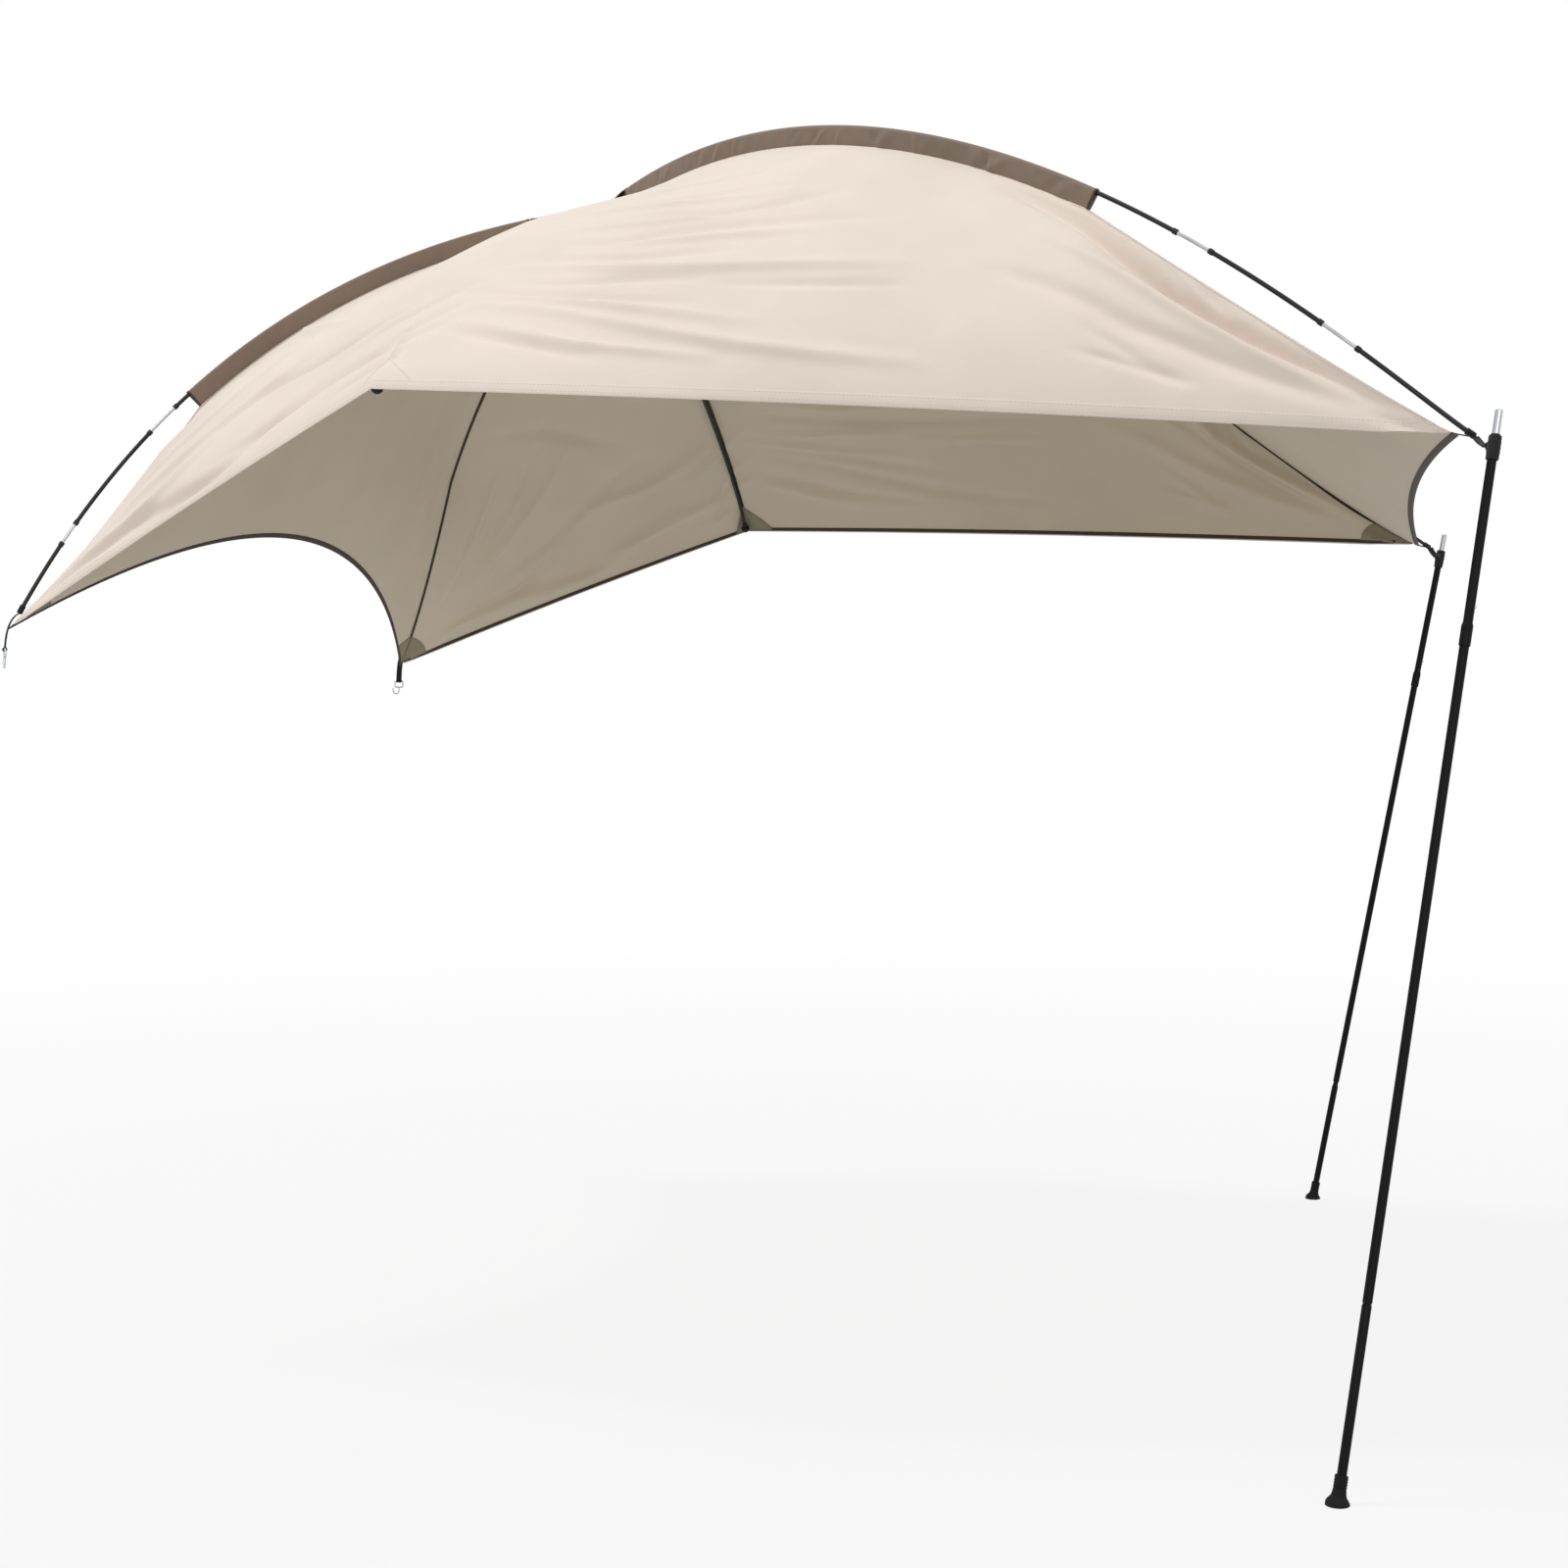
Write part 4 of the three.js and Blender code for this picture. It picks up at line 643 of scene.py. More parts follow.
def handed_over(obj, body, replaces=(), angle=35):
    """Smooths the finished piece, hangs it on the body that it rides on and hides the imported parts that it
    replaces.
    """
    activate(obj)
    bpy.ops.object.shade_smooth_by_angle(angle=math.radians(angle))
    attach(obj, body)
    if replaces:
        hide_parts(*replaces)


def joined(name, objects):
    activate(*objects)
    bpy.ops.object.join()
    objects[0].name = objects[0].data.name = name
    return objects[0]


def placed(obj, matrix):
    """Puts the piece in its place, in its mesh."""
    obj.matrix_world = matrix
    activate(obj)
    bpy.ops.object.transform_apply(location=True, rotation=True, scale=True)
    return obj


def turned(name, profile, steps, key):
    """A closed body: a loop drawn as [radius, height] and spun about Z."""
    obj = added(name, bpy.ops.mesh.primitive_circle_add, vertices=len(profile), fill_type="NOTHING")
    for vertex, (radius, height) in zip(obj.data.vertices, profile):
        vertex.co = (radius, 0, height)
    spin = {"steps": steps, "angle": 2 * math.pi, "center": (0, 0, 0), "axis": (0, 0, 1)}
    edit(
        obj,
        (bpy.ops.mesh.spin, spin),
        SELECT_ALL,
        merge(1e-6),
        (bpy.ops.mesh.dissolve_degenerate, {"threshold": 1e-7}),
        SELECT_ALL,
        FACE_OUTWARDS,
    )
    return dressed(obj, finish(key))


def bent_rod(name, points, radii, key, resolution=6, cyclic=False):
    """A round rod whose radius is given at each point of its route."""
    obj = added(name, bpy.ops.curve.primitive_nurbs_path_add)
    curve = obj.data
    curve.splines.clear()
    spline = curve.splines.new("POLY")
    spline.points.add(len(points) - 1)
    spline.points.foreach_set("co", np.column_stack([points, np.ones(len(points))]).reshape(-1))
    shares = np.broadcast_to(np.asarray(radii, float), len(points)) / MILLIMETRE
    spline.points.foreach_set("radius", shares)
    spline.use_cyclic_u = cyclic
    curve.dimensions = "3D"
    curve.bevel_depth = MILLIMETRE
    curve.bevel_resolution = resolution
    curve.use_fill_caps = not cyclic
    activate(obj)
    bpy.ops.object.convert(target="MESH")
    obj = bpy.context.object
    edit(obj, merge(1e-7), FACE_OUTWARDS)
    return dressed(obj, finish(key))


def ribbon(name, middles, across, width=STRAP_WIDTH, thickness=STRAP_THICKNESS, outside=UP):
    """Webbing through a list of points, with rounded edges."""
    columns = np.linspace(-0.5, 0.5, 7) * width
    points = middles[:, None] + across * columns[:, None]
    obj = dressed(laid_grid(name, points, outside), finish("webbing"))
    thicken(obj, thickness)
    soften(obj, 0.0004)
    return obj


def stitches(name, rows, pitch, key, length=0.0042, thickness=0.00045):
    """Rows of stitches: one is modelled and its copies are laid end to end along each row."""
    obj = added(name, bpy.ops.mesh.primitive_uv_sphere_add, segments=6, ring_count=4, radius=1)
    mesh = obj.data
    shape = np.array([vertex.co for vertex in mesh.vertices]) * (thickness, thickness * 0.7, length / 2)
    faces = [list(polygon.vertices) for polygon in mesh.polygons]
    points, polygons = [], []
    for line, normals in rows:
        run = Line(line)
        count = max(2, int(run.length / pitch))
        shares = (np.arange(count) + 0.5) / count
        tangents = run.tangent(shares)
        across = unit(np.cross(tangents, read(normals, run.marks, shares)))
        above = np.cross(across, tangents)
        for middle, *axes in zip(run.at(shares), across, above, tangents):
            base = len(shape) * len(points)
            polygons.extend([base + index for index in face] for face in faces)
            points.append(middle + shape @ np.stack(axes))
    fresh = bpy.data.meshes.new(name)
    fresh.from_pydata(np.concatenate(points).tolist(), [], polygons)
    obj.data = fresh
    bpy.data.meshes.remove(mesh)
    fresh.name = name
    edit(obj, FACE_OUTWARDS)
    return dressed(obj, finish(key))


def sew(name, rows, pitch, key="thread", slot="canopy_cloth", **size):
    """Stitches that are a piece of their own."""
    handed_over(stitches(name, rows, pitch, key, **size), "canopy")


# Finishes


def linear(code):
    """An sRGB hex value as the linear colour that the shaders take."""
    values = [int(code[i : i + 2], 16) / 255 for i in (1, 3, 5)]
    return tuple(v / 12.92 if v <= 0.04045 else ((v + 0.055) / 1.055) ** 2.4 for v in values)


def shade(colour, factor):
    return (*(min(1.0, channel * factor) for channel in colour[:3]), 1.0)


def add_node(tree, kind, inputs=None, **settings):
    """Adds a node with its settings, and gives each input a value or the socket that feeds it."""
    node = tree.nodes.new("ShaderNode" + kind)
    for key, value in settings.items():
        setattr(node, key, value)
    for key, value in (inputs or {}).items():
        if isinstance(value, bpy.types.NodeSocket):
            tree.links.new(value, node.inputs[key])
        else:
            node.inputs[key].default_value = value
    return node


def blank_finish(name, **constants):
    """A material with one surface shader, its constant values set on the shader's own sockets."""
    material = bpy.data.materials.new(name)
    material.use_nodes = True
    tree = material.node_tree
    surface = next(node for node in tree.nodes if node.type == "BSDF_PRINCIPLED")
    for key, value in constants.items():
        surface.inputs[key.replace("_", " ")].default_value = value
    return material, tree, surface


def in_room(tree):
    return add_node(tree, "TexCoord").outputs["Object"]


def noise(tree, vector, scale, detail, **shape):
    """A cloudy pattern from 0 to 1, its scale in waves per metre."""
    inputs = {"Vector": vector, "Scale": scale, "Detail": detail, **shape}
    return add_node(tree, "TexNoise", inputs).outputs["Fac"]


def coloured(tree, surface, factor, low, high, start=0.3, end=0.7):
    """Colour that goes from one shade to another with a pattern."""
    ramp = add_node(tree, "ValToRGB", {"Fac": factor})
    for stop, position, colour in zip(ramp.color_ramp.elements, (start, end), (low, high)):
        stop.position, stop.color = position, colour
    tree.links.new(ramp.outputs["Color"], surface.inputs["Base Color"])


def rough(tree, surface, factor, low, high):
    spread = add_node(tree, "MapRange", {"Value": factor, "To Min": low, "To Max": high})
    tree.links.new(spread.outputs["Result"], surface.inputs["Roughness"])


def bumped(tree, surface, *layers):
    """Layers of relief, each a pattern, its strength and its real height in metres."""
    normal = {}
    for height, strength, distance in layers:
        inputs = {"Height": height, "Strength": strength, "Distance": distance}
        normal = {"Normal": add_node(tree, "Bump", {**inputs, **normal}).outputs["Normal"]}
    tree.links.new(normal["Normal"], surface.inputs["Normal"])


def woven(tree, pitch, vector, weft_share=1.0):
    """Over-and-under threads: two sets of bands at right angles, the higher one on top."""
    warp, weft = (
        add_node(
            tree, "TexWave", {"Vector": vector, "Scale": math.pi / (10 * pitch) * share}, bands_direction=axis
        ).outputs["Fac"]
        for axis, share in (("X", 1.0), ("Y", weft_share))
    )
    return add_node(tree, "Math", {0: warp, 1: weft}, operation="MULTIPLY").outputs["Value"]


def oxford_cloth(name, colour, roughness=0.82, contrast=0.06, crumple=0.5):
    """Plain-woven polyester: matt, faintly thready, with soft crumples and a little uneven dye."""
    look = {"Sheen_Weight": 0.12, "Sheen_Roughness": 0.5, "Specular_IOR_Level": 0.3}
    material, tree, surface = blank_finish(name, **look)
    uv = add_node(tree, "UVMap").outputs["UV"]
    room = in_room(tree)
    dye = noise(tree, room, 3.2, 3.0, Roughness=0.55)
    coloured(tree, surface, dye, shade(colour, 1 - contrast), shade(colour, 1 + contrast * 0.4))
    threads = woven(tree, bpy.context.scene.tent_sizes.weave_pitch, uv)
    slub = noise(tree, uv, 140.0, 2.0)
    crumples = noise(tree, room, 16.0, 4.0, Distortion=0.6)
    creases = noise(tree, room, 5.0, 2.0, Distortion=1.2)
    rough(tree, surface, slub, roughness - 0.06, roughness + 0.08)
    folded = (creases, 0.5 * crumple, 0.012), (crumples, 0.45 * crumple, 0.004)
    bumped(tree, surface, *folded, (slub, 0.10, 0.0006), (threads, 0.07, 0.0004))
    return material


def woven_tape(name, colour, pitch=0.0018):
    """Webbing and binding tape: fine ribs across the tape, with painted shade in the grooves between threads
    and painted light on their tops.
    """
    look = {"Sheen_Weight": 0.2, "Sheen_Roughness": 0.4, "Specular_IOR_Level": 0.35}
    material, tree, surface = blank_finish(name, **look)
    uv = add_node(tree, "UVMap").outputs["UV"]
    threads = woven(tree, pitch, uv, 0.7)
    fuzz = noise(tree, uv, 900.0, 2.0)
    # painted shade and light: the colour darkens into the grooves of the weave and lightens on the threads'
    # tops
    coloured(tree, surface, threads, shade(colour, 0.62), shade(colour, 1.25), 0.0, 0.9)
    rough(tree, surface, fuzz, 0.75, 0.93)
    bumped(tree, surface, (fuzz, 0.15, 0.0003), (threads, 0.6, 0.0005))
    return material


def glass_fibre(name, colour):
    """Pultruded glass-fibre tube under black lacquer: satin, with fine streaks and specks of fibre."""
    material, tree, surface = blank_finish(name, Coat_Weight=0.12, Coat_Roughness=0.3, Specular_IOR_Level=0.3)
    room = in_room(tree)
    streaks = noise(tree, room, 180.0, 3.0, Roughness=0.6)
    specks = add_node(tree, "TexVoronoi", {"Vector": room, "Scale": 420.0}).outputs["Distance"]
    coloured(tree, surface, streaks, shade(colour, 0.75), shade(colour, 1.5), 0.35, 0.75)
    rough(tree, surface, streaks, 0.34, 0.55)
    bumped(tree, surface, (streaks, 0.12, 0.0004), (specks, 0.06, 0.0003))
    return material


def plated_steel(name, colour):
    """Bright plated steel: mirror-like, broken by drawing marks and the haze of handling."""
    material, tree, surface = blank_finish(name, Metallic=1.0)
    room = in_room(tree)
    marks = noise(tree, room, 260.0, 4.0, Roughness=0.7)
    haze = noise(tree, room, 24.0, 2.0)
    coloured(tree, surface, haze, shade(colour, 0.86), shade(colour, 1.04))
    rough(tree, surface, marks, 0.22, 0.38)
    bumped(tree, surface, (marks, 0.03, 0.0003))
    return material


def powder_coat(name, colour):
    """Black powder coat on steel tube: an even satin with the faint orange peel of baked powder."""
    material, tree, surface = blank_finish(name, Specular_IOR_Level=0.12)
    room = in_room(tree)
    # orange peel is about 1 mm across; it is drawn at 3 mm to show
    peel = noise(tree, room, 330.0, 1.0)
    dust = noise(tree, room, 14.0, 5.0, Roughness=0.65)
    coloured(tree, surface, dust, shade(colour, 0.85), shade(colour, 1.45), 0.35, 0.8)
    rough(tree, surface, dust, 0.36, 0.56)
    bumped(tree, surface, (peel, 0.16, 0.0003))
    return material


def moulded(name, colour, roughness, grain=0.0012, strength=0.2):
    """Moulded rubber or nylon: deep colour, a fine spark-eroded grain and paler scuffs."""
    material, tree, surface = blank_finish(name, Specular_IOR_Level=0.28)
    room = in_room(tree)
    texture = noise(tree, room, 1 / grain, 2.0)
    scuffs = noise(tree, room, 60.0, 6.0, Roughness=0.7)
    coloured(tree, surface, scuffs, shade(colour, 0.9), shade(colour, 1.8), 0.5, 0.9)
    rough(tree, surface, texture, roughness - 0.08, roughness + 0.08)
    bumped(tree, surface, (texture, strength, 0.0004))
    return material


def sewing_thread(name, colour):
    """Spun polyester thread: matt, with the light and shade of its twist painted into its colour."""
    material, tree, surface = blank_finish(name, Sheen_Weight=0.3, Specular_IOR_Level=0.3)
    twist = noise(tree, in_room(tree), 900.0, 1.0)
    coloured(tree, surface, twist, shade(colour, 0.8), shade(colour, 1.1))
    rough(tree, surface, twist, 0.7, 0.9)
    return material


# How each finish is made, its material's name, the colour that it takes and its own values.
FINISHES = {
    "outer": (oxford_cloth, "polyester_oxford_sand", "outer"),
    # the coated inner face is a little darker and warmer than the outer: partly the coating's own tone,
    # partly painted shade and painted light coming through the cloth
    "inner": (oxford_cloth, "polyester_oxford_coated_side", "inner", 0.7, 0.05),
    "sleeve": (oxford_cloth, "polyester_oxford_taupe", "sleeve", 0.85, 0.12, 1.0),
    "facing": (oxford_cloth, "polyester_oxford_brown", "facing", 0.85, 0.1, 0.4),
    "tape": (woven_tape, "polyester_binding_tape", "tape"),
    "webbing": (woven_tape, "polypropylene_webbing", "webbing", 0.0022),
    "elastic": (woven_tape, "braided_elastic_sheath", "webbing", 0.0015),
    "fibre": (glass_fibre, "glass_fibre_tube", "fibre"),
    "bright": (plated_steel, "plated_steel", "bright"),
    "paint": (powder_coat, "powder_coated_steel", "paint"),
    "rubber": (moulded, "moulded_rubber", "rubber", 0.84, 0.0016, 0.3),
    "nylon": (moulded, "moulded_nylon", "nylon", 0.5),
    "thread": (sewing_thread, "sand_sewing_thread", "thread"),
}
made_finishes = {}


def finish(key):
    if key not in made_finishes:
        maker, name, colour, *values = FINISHES[key]
        made_finishes[key] = maker(name, tuple(getattr(bpy.context.scene.tent_colours, colour)), *values)
    return made_finishes[key]


# Sizes and colours that a user may change


def length_property(name, description, default, low, high):
    return bpy.props.FloatProperty(
        name=name, description=description, default=default, min=low, max=high, unit="LENGTH", precision=4
    )


class TentSizes(bpy.types.PropertyGroup):
    cloth_thickness: length_property(
        "Cloth thickness", "Thickness of the canopy cloth", 0.0008, 0.0003, 0.003
    )
    fold_depth: bpy.props.FloatProperty(
        name="Fold depth", description="Depth of the folds in the cloth, as a share of the drawn one",
        default=1.0, min=0.0, max=1.5, subtype="FACTOR",
    )
    hem_width: length_property("Hem width", "Height of the sewn hem along each side", 0.022, 0.01, 0.04)
    hem_reach: length_property("Hem reach", "How far the side hems hang below the panels", 0.004, 0.002, 0.02)
    edge_reach: length_property(
        "Edge reach", "How far the front and rear edges stand out beyond the panels", 0.011, 0.004, 0.02
    )
    tape_width: length_property(
        "Seam tape width", "Width of the tape over the inner seams", 0.013, 0.006, 0.03
    )
    stitch_pitch: length_property(
        "Stitch pitch", "Distance from stitch to stitch, drawn coarser than the real 3 mm",
        0.0075, 0.003, 0.02,
    )
    weave_pitch: length_property(
        "Weave pitch", "Thread spacing, drawn ten times coarser than the real 0.4 mm", 0.004, 0.0004, 0.01
    )


def colour_property(name, description, code):
    return bpy.props.FloatVectorProperty(
        name=name, description=description, subtype="COLOR", size=3, min=0.0, max=1.0, default=linear(code)
    )


class TentColours(bpy.types.PropertyGroup):
    outer: colour_property("Cloth", "Outer face of the canopy", "#E3D6CA")
    # a little darker and warmer than the outer face: the coating's own tone together with painted shade and
    # painted light through the cloth
    inner: colour_property("Coated side", "Inner face of the canopy", "#DDD0BC")
    sleeve: colour_property("Sleeves", "Pole sleeves", "#857567")
    facing: colour_property("Corner facings", "Cloth under the corners", "#9A927C")
    tape: colour_property("Binding tape", "Tape on edges and inner seams", "#4E4436")
    webbing: colour_property("Webbing", "Straps, loops and the sheath of the shock cords", "#1E1D1C")
    fibre: colour_property("Glass fibre", "Long arches and hoop", "#0C0C0C")
    bright: colour_property("Bright steel", "Ferrules, spigots, buttons and hooks", "#BCC0C4")
    paint: colour_property("Powder coat", "Uprights", "#0A0A0B")
    rubber: colour_property("Rubber", "Feet", "#0C0C0C")
    nylon: colour_property("Nylon", "Hoop ends and rod pockets", "#0A0A0B")
    thread: colour_property("Thread", "Stitches on the canopy", "#CFC3B4")


def canopy_of(context):
    """The user's sizes and the panels that follow from them."""
    sizes = context.scene.tent_sizes
    return sizes, cloth_panels(sizes)


# Cloth

FRONT_ROWS = 150
REAR_ROWS = 90
SIDE_COLUMNS = 190
ROOF_ROWS = 110
ROOF_COLUMNS = 110
ROOF_START = 0.014  # where the roof cloths begin, as a share of the way from the crown


def side_shares(cloth):
    """Rows of a side cloth, closer together near the hoop and trimmed at both corners."""
    halves = []
    for half, rows in ((cloth.front, FRONT_ROWS), (cloth.rear, REAR_ROWS)):
        length = np.linalg.norm(half.low(np.array(1.0)) - half.low(np.array(0.0)))
        share = np.append((np.arange(rows) / rows) ** 1.08, [0.9965, 1.0])
        halves.append(share * (1 - CORNER_TRIM / length))
    return np.concatenate([-halves[1][::-1], halves[0][1:]])


def below_edge(first, second, reach):
    """Rows of points that carry a surface on past its edge, the farthest first."""
    out = unit(first - second)
    return np.stack([first + out * reach * step / 3 for step in (3, 2, 1)])


def side_points(cloth, reach):
    s = side_shares(cloth)[:, None]
    v = np.linspace(0, 1, SIDE_COLUMNS + 1)[None, :]
    points = cloth.at(s, v)
    # the hem narrows where it meets the arch at a corner
    height = np.linalg.norm(points[:, -1] - points[:, 0], axis=-1)
    taper = np.clip(height / 0.06, 0.12, 1)[:, None]
    extra = below_edge(points[:, 0], points[:, 2], reach * taper)
    return np.concatenate([extra.transpose(1, 0, 2), points], axis=1)


def roof_points(panel, start, reach):
    u = np.linspace(start, 1, ROOF_ROWS + 1)[:, None]
    v = np.linspace(0, 1, ROOF_COLUMNS + 1)[None, :]
    points = panel.at(u, v)
    return np.concatenate([points, below_edge(points[-1], points[-3], reach)[::-1]], axis=0)


def sewn_sheet(name, points, outside, thickness):
    """A sheet of cloth with its outer and its coated face, the coated one with painted shade in its colour,
    and its area before it gets its thickness.
    """
    obj = dressed(laid_grid(name, points, outside), finish("outer"), finish("inner"))
    area = area_of(obj)
    thicken(obj, thickness, material_offset=1)
    return obj, area


class TENT_OT_side_cloth(bpy.types.Operator):
    """Models the cloth of both sides, over the hoop, from the rear corners to the front ones"""

    bl_idname = "tent.side_cloth"
    bl_label = "Side cloth"

    def execute(self, context):
        sizes, panels = canopy_of(context)
        for name, side in SIDES:
            points = side_points(SideCloth(panels, name, sizes), sizes.hem_reach)
            obj, area = sewn_sheet(f"{name}_side_cloth", points, (0, side, 0.5), sizes.cloth_thickness)
            nodes = (f"{name}_front_side_panel", f"{name}_rear_side_panel")
            handed_over(obj, "canopy", nodes)
        return {"FINISHED"}


class TENT_OT_roof_cloth(bpy.types.Operator):
    """Models the front and the rear roof cloth between the arches"""

    bl_idname = "tent.roof_cloth"
    bl_label = "Roof cloth"

    def execute(self, context):
        sizes, panels = canopy_of(context)
        for name, flat, outside in (("front", (2.05, 2.05), (0, 0, 1)), ("rear", (1.90, 1.55), (-1, 0, 1))):
            points = roof_points(panels[name], ROOF_START, sizes.edge_reach)
            obj, area = sewn_sheet(f"{name}_cloth", points, outside, sizes.cloth_thickness)
            handed_over(obj, "canopy", (f"{name}_panel",))
        return {"FINISHED"}


BEFORE_EDGE = 0.003  # strips are also read this far outside the edge


def strip_along(points, section, outside):
    """A strip that follows the first column of a grid: its section is drawn as [distance, lift].

    Where a row is shorter than the section, the section is drawn narrower.
    """
    before = points[:, 0] + unit(points[:, 0] - points[:, 1]) * BEFORE_EDGE
    points = np.concatenate([before[:, None], points], axis=1)
    gone = gone_along(points)
    distances, lifts = np.array(section).T
    reach = max(distances) + 0.004
    steps = 24
    fine = np.linspace(-BEFORE_EDGE, reach, steps)
    squeezed = np.minimum(1, 0.97 * (gone[:, -1] - BEFORE_EDGE) / reach)

    def laid(at):
        rows = zip(points, gone, squeezed)
        return np.stack([
            read(row, way, np.where(at > 0, at * share, at) + BEFORE_EDGE) for row, way, share in rows
        ])

    surface = laid(fine)
    normals = unit(np.cross(np.gradient(surface, axis=0), np.gradient(surface, axis=1)))
    turn = np.sign((normals[len(normals) // 2, steps // 2] * np.asarray(outside, float)).sum()) or 1.0
    upwards = np.stack([read(row, fine, distances) for row in normals * turn])
    return laid(distances) + upwards * lifts[:, None]


def stitch_row(strip):
    """The first column of a strip, and the way that stitches on it face."""
    line = strip[:, 0]
    return line, unit(np.cross(np.gradient(line, axis=0), strip[:, 1] - line))


def strip_piece(name, points, outside, key, thickness, on, replaces=()):
    """A narrow piece of cloth or tape, sewn flat onto the piece it rests on."""
    obj = dressed(laid_grid(name, points, outside), finish(key))
    thicken(obj, thickness)
    handed_over(obj, "canopy", replaces)
    length = max(Line(column).length for column in points.transpose(1, 0, 2))


class TENT_OT_hems(bpy.types.Operator):
    """Folds the lower edge of each side cloth up and binds it on the inside"""

    bl_idname = "tent.hems"
    bl_label = "Hems"

    def execute(self, context):
        sizes, panels = canopy_of(context)
        width = sizes.hem_width
        fold = ((width, 0.0007), (width - 0.002, 0.0011), (0.012, 0.0012), (0.002, 0.0011), (0, 0.0008))
        fold += ((-0.0011, 0), (0, -0.0008), (0.0016, -0.0010))
        tape = ((0.0022, -0.0010), (0.0036, -0.0015), (0.009, -0.0016), (0.0115, -0.0011))
        for name, side in SIDES:
            grid = side_points(SideCloth(panels, name, sizes), sizes.hem_reach)[1:-1]
            outside, on = (0, side, 0.5), f"{name}_side_cloth"
            folded = strip_along(grid, fold, outside)
            strip_piece(f"{name}_hem_fold", folded, outside, "outer", 0.0006, on, (f"{name}_hem_binding",))
            bound = strip_along(grid, tape, outside)
            strip_piece(f"{name}_hem_tape", bound, (0, -side, 0), "tape", 0.0007, on)
            rows = [
                stitch_row(strip_along(grid, ((start, 0.0016), (start + 0.002, 0.0016)), outside))
                for start in (0.005, width - 0.004)
            ]
            sew(f"{name}_hem_stitches", rows, sizes.stitch_pitch)
        return {"FINISHED"}


class TENT_OT_edge_tapes(bpy.types.Operator):
    """Folds binding tape over the front and the rear edge of the roof"""

    bl_idname = "tent.edge_tapes"
    bl_label = "Edge tapes"

    def execute(self, context):
        sizes, panels = canopy_of(context)
        half = ((0.0125, 0.0008), (0.011, 0.0012), (0.002, 0.0013), (0.0004, 0.0010))
        section = (*half, (-0.0010, 0), *((distance, -lift) for distance, lift in reversed(half)))
        for name, outside in (("front", (0, 0, 1)), ("rear", (-1, 0, 1))):
            # the roof cloth, read from its free edge inwards
            grid = roof_points(panels[name], 0.5, sizes.edge_reach)[::-1].transpose(1, 0, 2)
            points = strip_along(grid, section, outside)
            node = (f"{name}_edge_binding",)
            strip_piece(f"{name}_edge_tape", points, outside, "tape", 0.0007, f"{name}_cloth", node)
            rows = [
                stitch_row(strip_along(grid, ((0.009, lift), (0.0105, lift)), outside))
                for lift in (0.0018, -0.0018)
            ]
            sew(f"{name}_edge_stitches", rows, sizes.stitch_pitch, "tape", "binding_tape", thickness=0.0004)
        return {"FINISHED"}


def seam_strip(cloth, part, panel, side, shares, reaches, lift):
    """A strip over the seam between a side cloth and a roof cloth; it reaches below 0 on the side cloth."""
    half, s = (cloth.front, shares) if part == "front" else (cloth.rear, -shares)
    height = np.linalg.norm(half.low(shares) - half.high(shares), axis=-1)
    width = np.linalg.norm(panel.low(shares) - panel.high(shares), axis=-1)
    columns = []
    for reach in reaches:
        if reach < 0:
            columns.append(cloth.at(s, 1 + reach / height, lift))
        else:
            v = reach / width
            columns.append(panel.at(shares, v if side < 0 else 1 - v, lift))
    return np.stack(columns, axis=1)


class TENT_OT_seams(bpy.types.Operator):
    """Tapes the seams on the inside and folds them on the outside where no sleeve covers them"""

    bl_idname = "tent.seams"
    bl_label = "Seams"

    def execute(self, context):
        sizes, panels = canopy_of(context)
        across = sizes.tape_width / 2 * np.array([-1, -0.6, -0.2, 0.2, 0.6, 1])
        for name, side in SIDES:
            cloth = SideCloth(panels, name, sizes)
            outside, inside = (0, side, 1), (0, -side, -1)
            for part, curve, start in (
                ("front", FRONT_ARM[side], FRONT_SLEEVE_START),
                ("rear", REAR_ARM[side], REAR_SLEEVE_START),
            ):
                seam, on = (cloth, part, panels[part], side), f"{part}_cloth"
                taped = seam_strip(*seam, np.linspace(0.06, 0.985, 150), across, -0.0013)
                strip_piece(f"{name}_{part}_seam_tape", taped, inside, "tape", 0.0008, on)
                bare = np.linspace(1 - start / curve.length - 0.02, 0.985, 60)
                folded = seam_strip(*seam, bare, (-0.006, -0.004, -0.001, 0.001), 0.0011)
                strip_piece(f"{name}_{part}_seam_fold", folded, outside, "outer", 0.0007, on)
                row = stitch_row(seam_strip(*seam, bare, (-0.0042, -0.003), 0.0017))
                sew(f"{name}_{part}_seam_stitches", [row], sizes.stitch_pitch)
            # a dark strip in the tape finish along the inside of the hoop, over the rod
            v = np.linspace(0.05, 0.96, 120)
            run = np.linalg.norm(cloth.front.start(v) - front_corner(side), axis=-1)
            taped = np.stack([cloth.at(reach / run, v, -0.0014) for reach in across], axis=1)
            strip_piece(f"{name}_hoop_seam_tape", taped, inside, "tape", 0.0008, "hoop_rod")
        return {"FINISHED"}


UNDER_CLOTH = -0.0016  # the lift of a facing, from the middle of the cloth


def rim(grid):
    """The edge of a grid, all the way round and back to its first point."""
    return np.concatenate([grid[0, :], grid[1:, -1], grid[-1, -2::-1], grid[-2:0:-1, 0], grid[:1, 0]])


def rim_row(points, inset, outside, lift):
    """A row of stitches round a grid, a little inside its edge."""
    normals = np.nan_to_num(unit(np.cross(np.gradient(points, axis=0), np.gradient(points, axis=1))))
    facing = rim(normals * np.sign((normals.mean(axis=(0, 1)) * outside).sum() or 1.0))
    inward = unit(points.mean(axis=(0, 1)) - rim(points))
    return rim(points) + inward * inset + facing * lift, facing


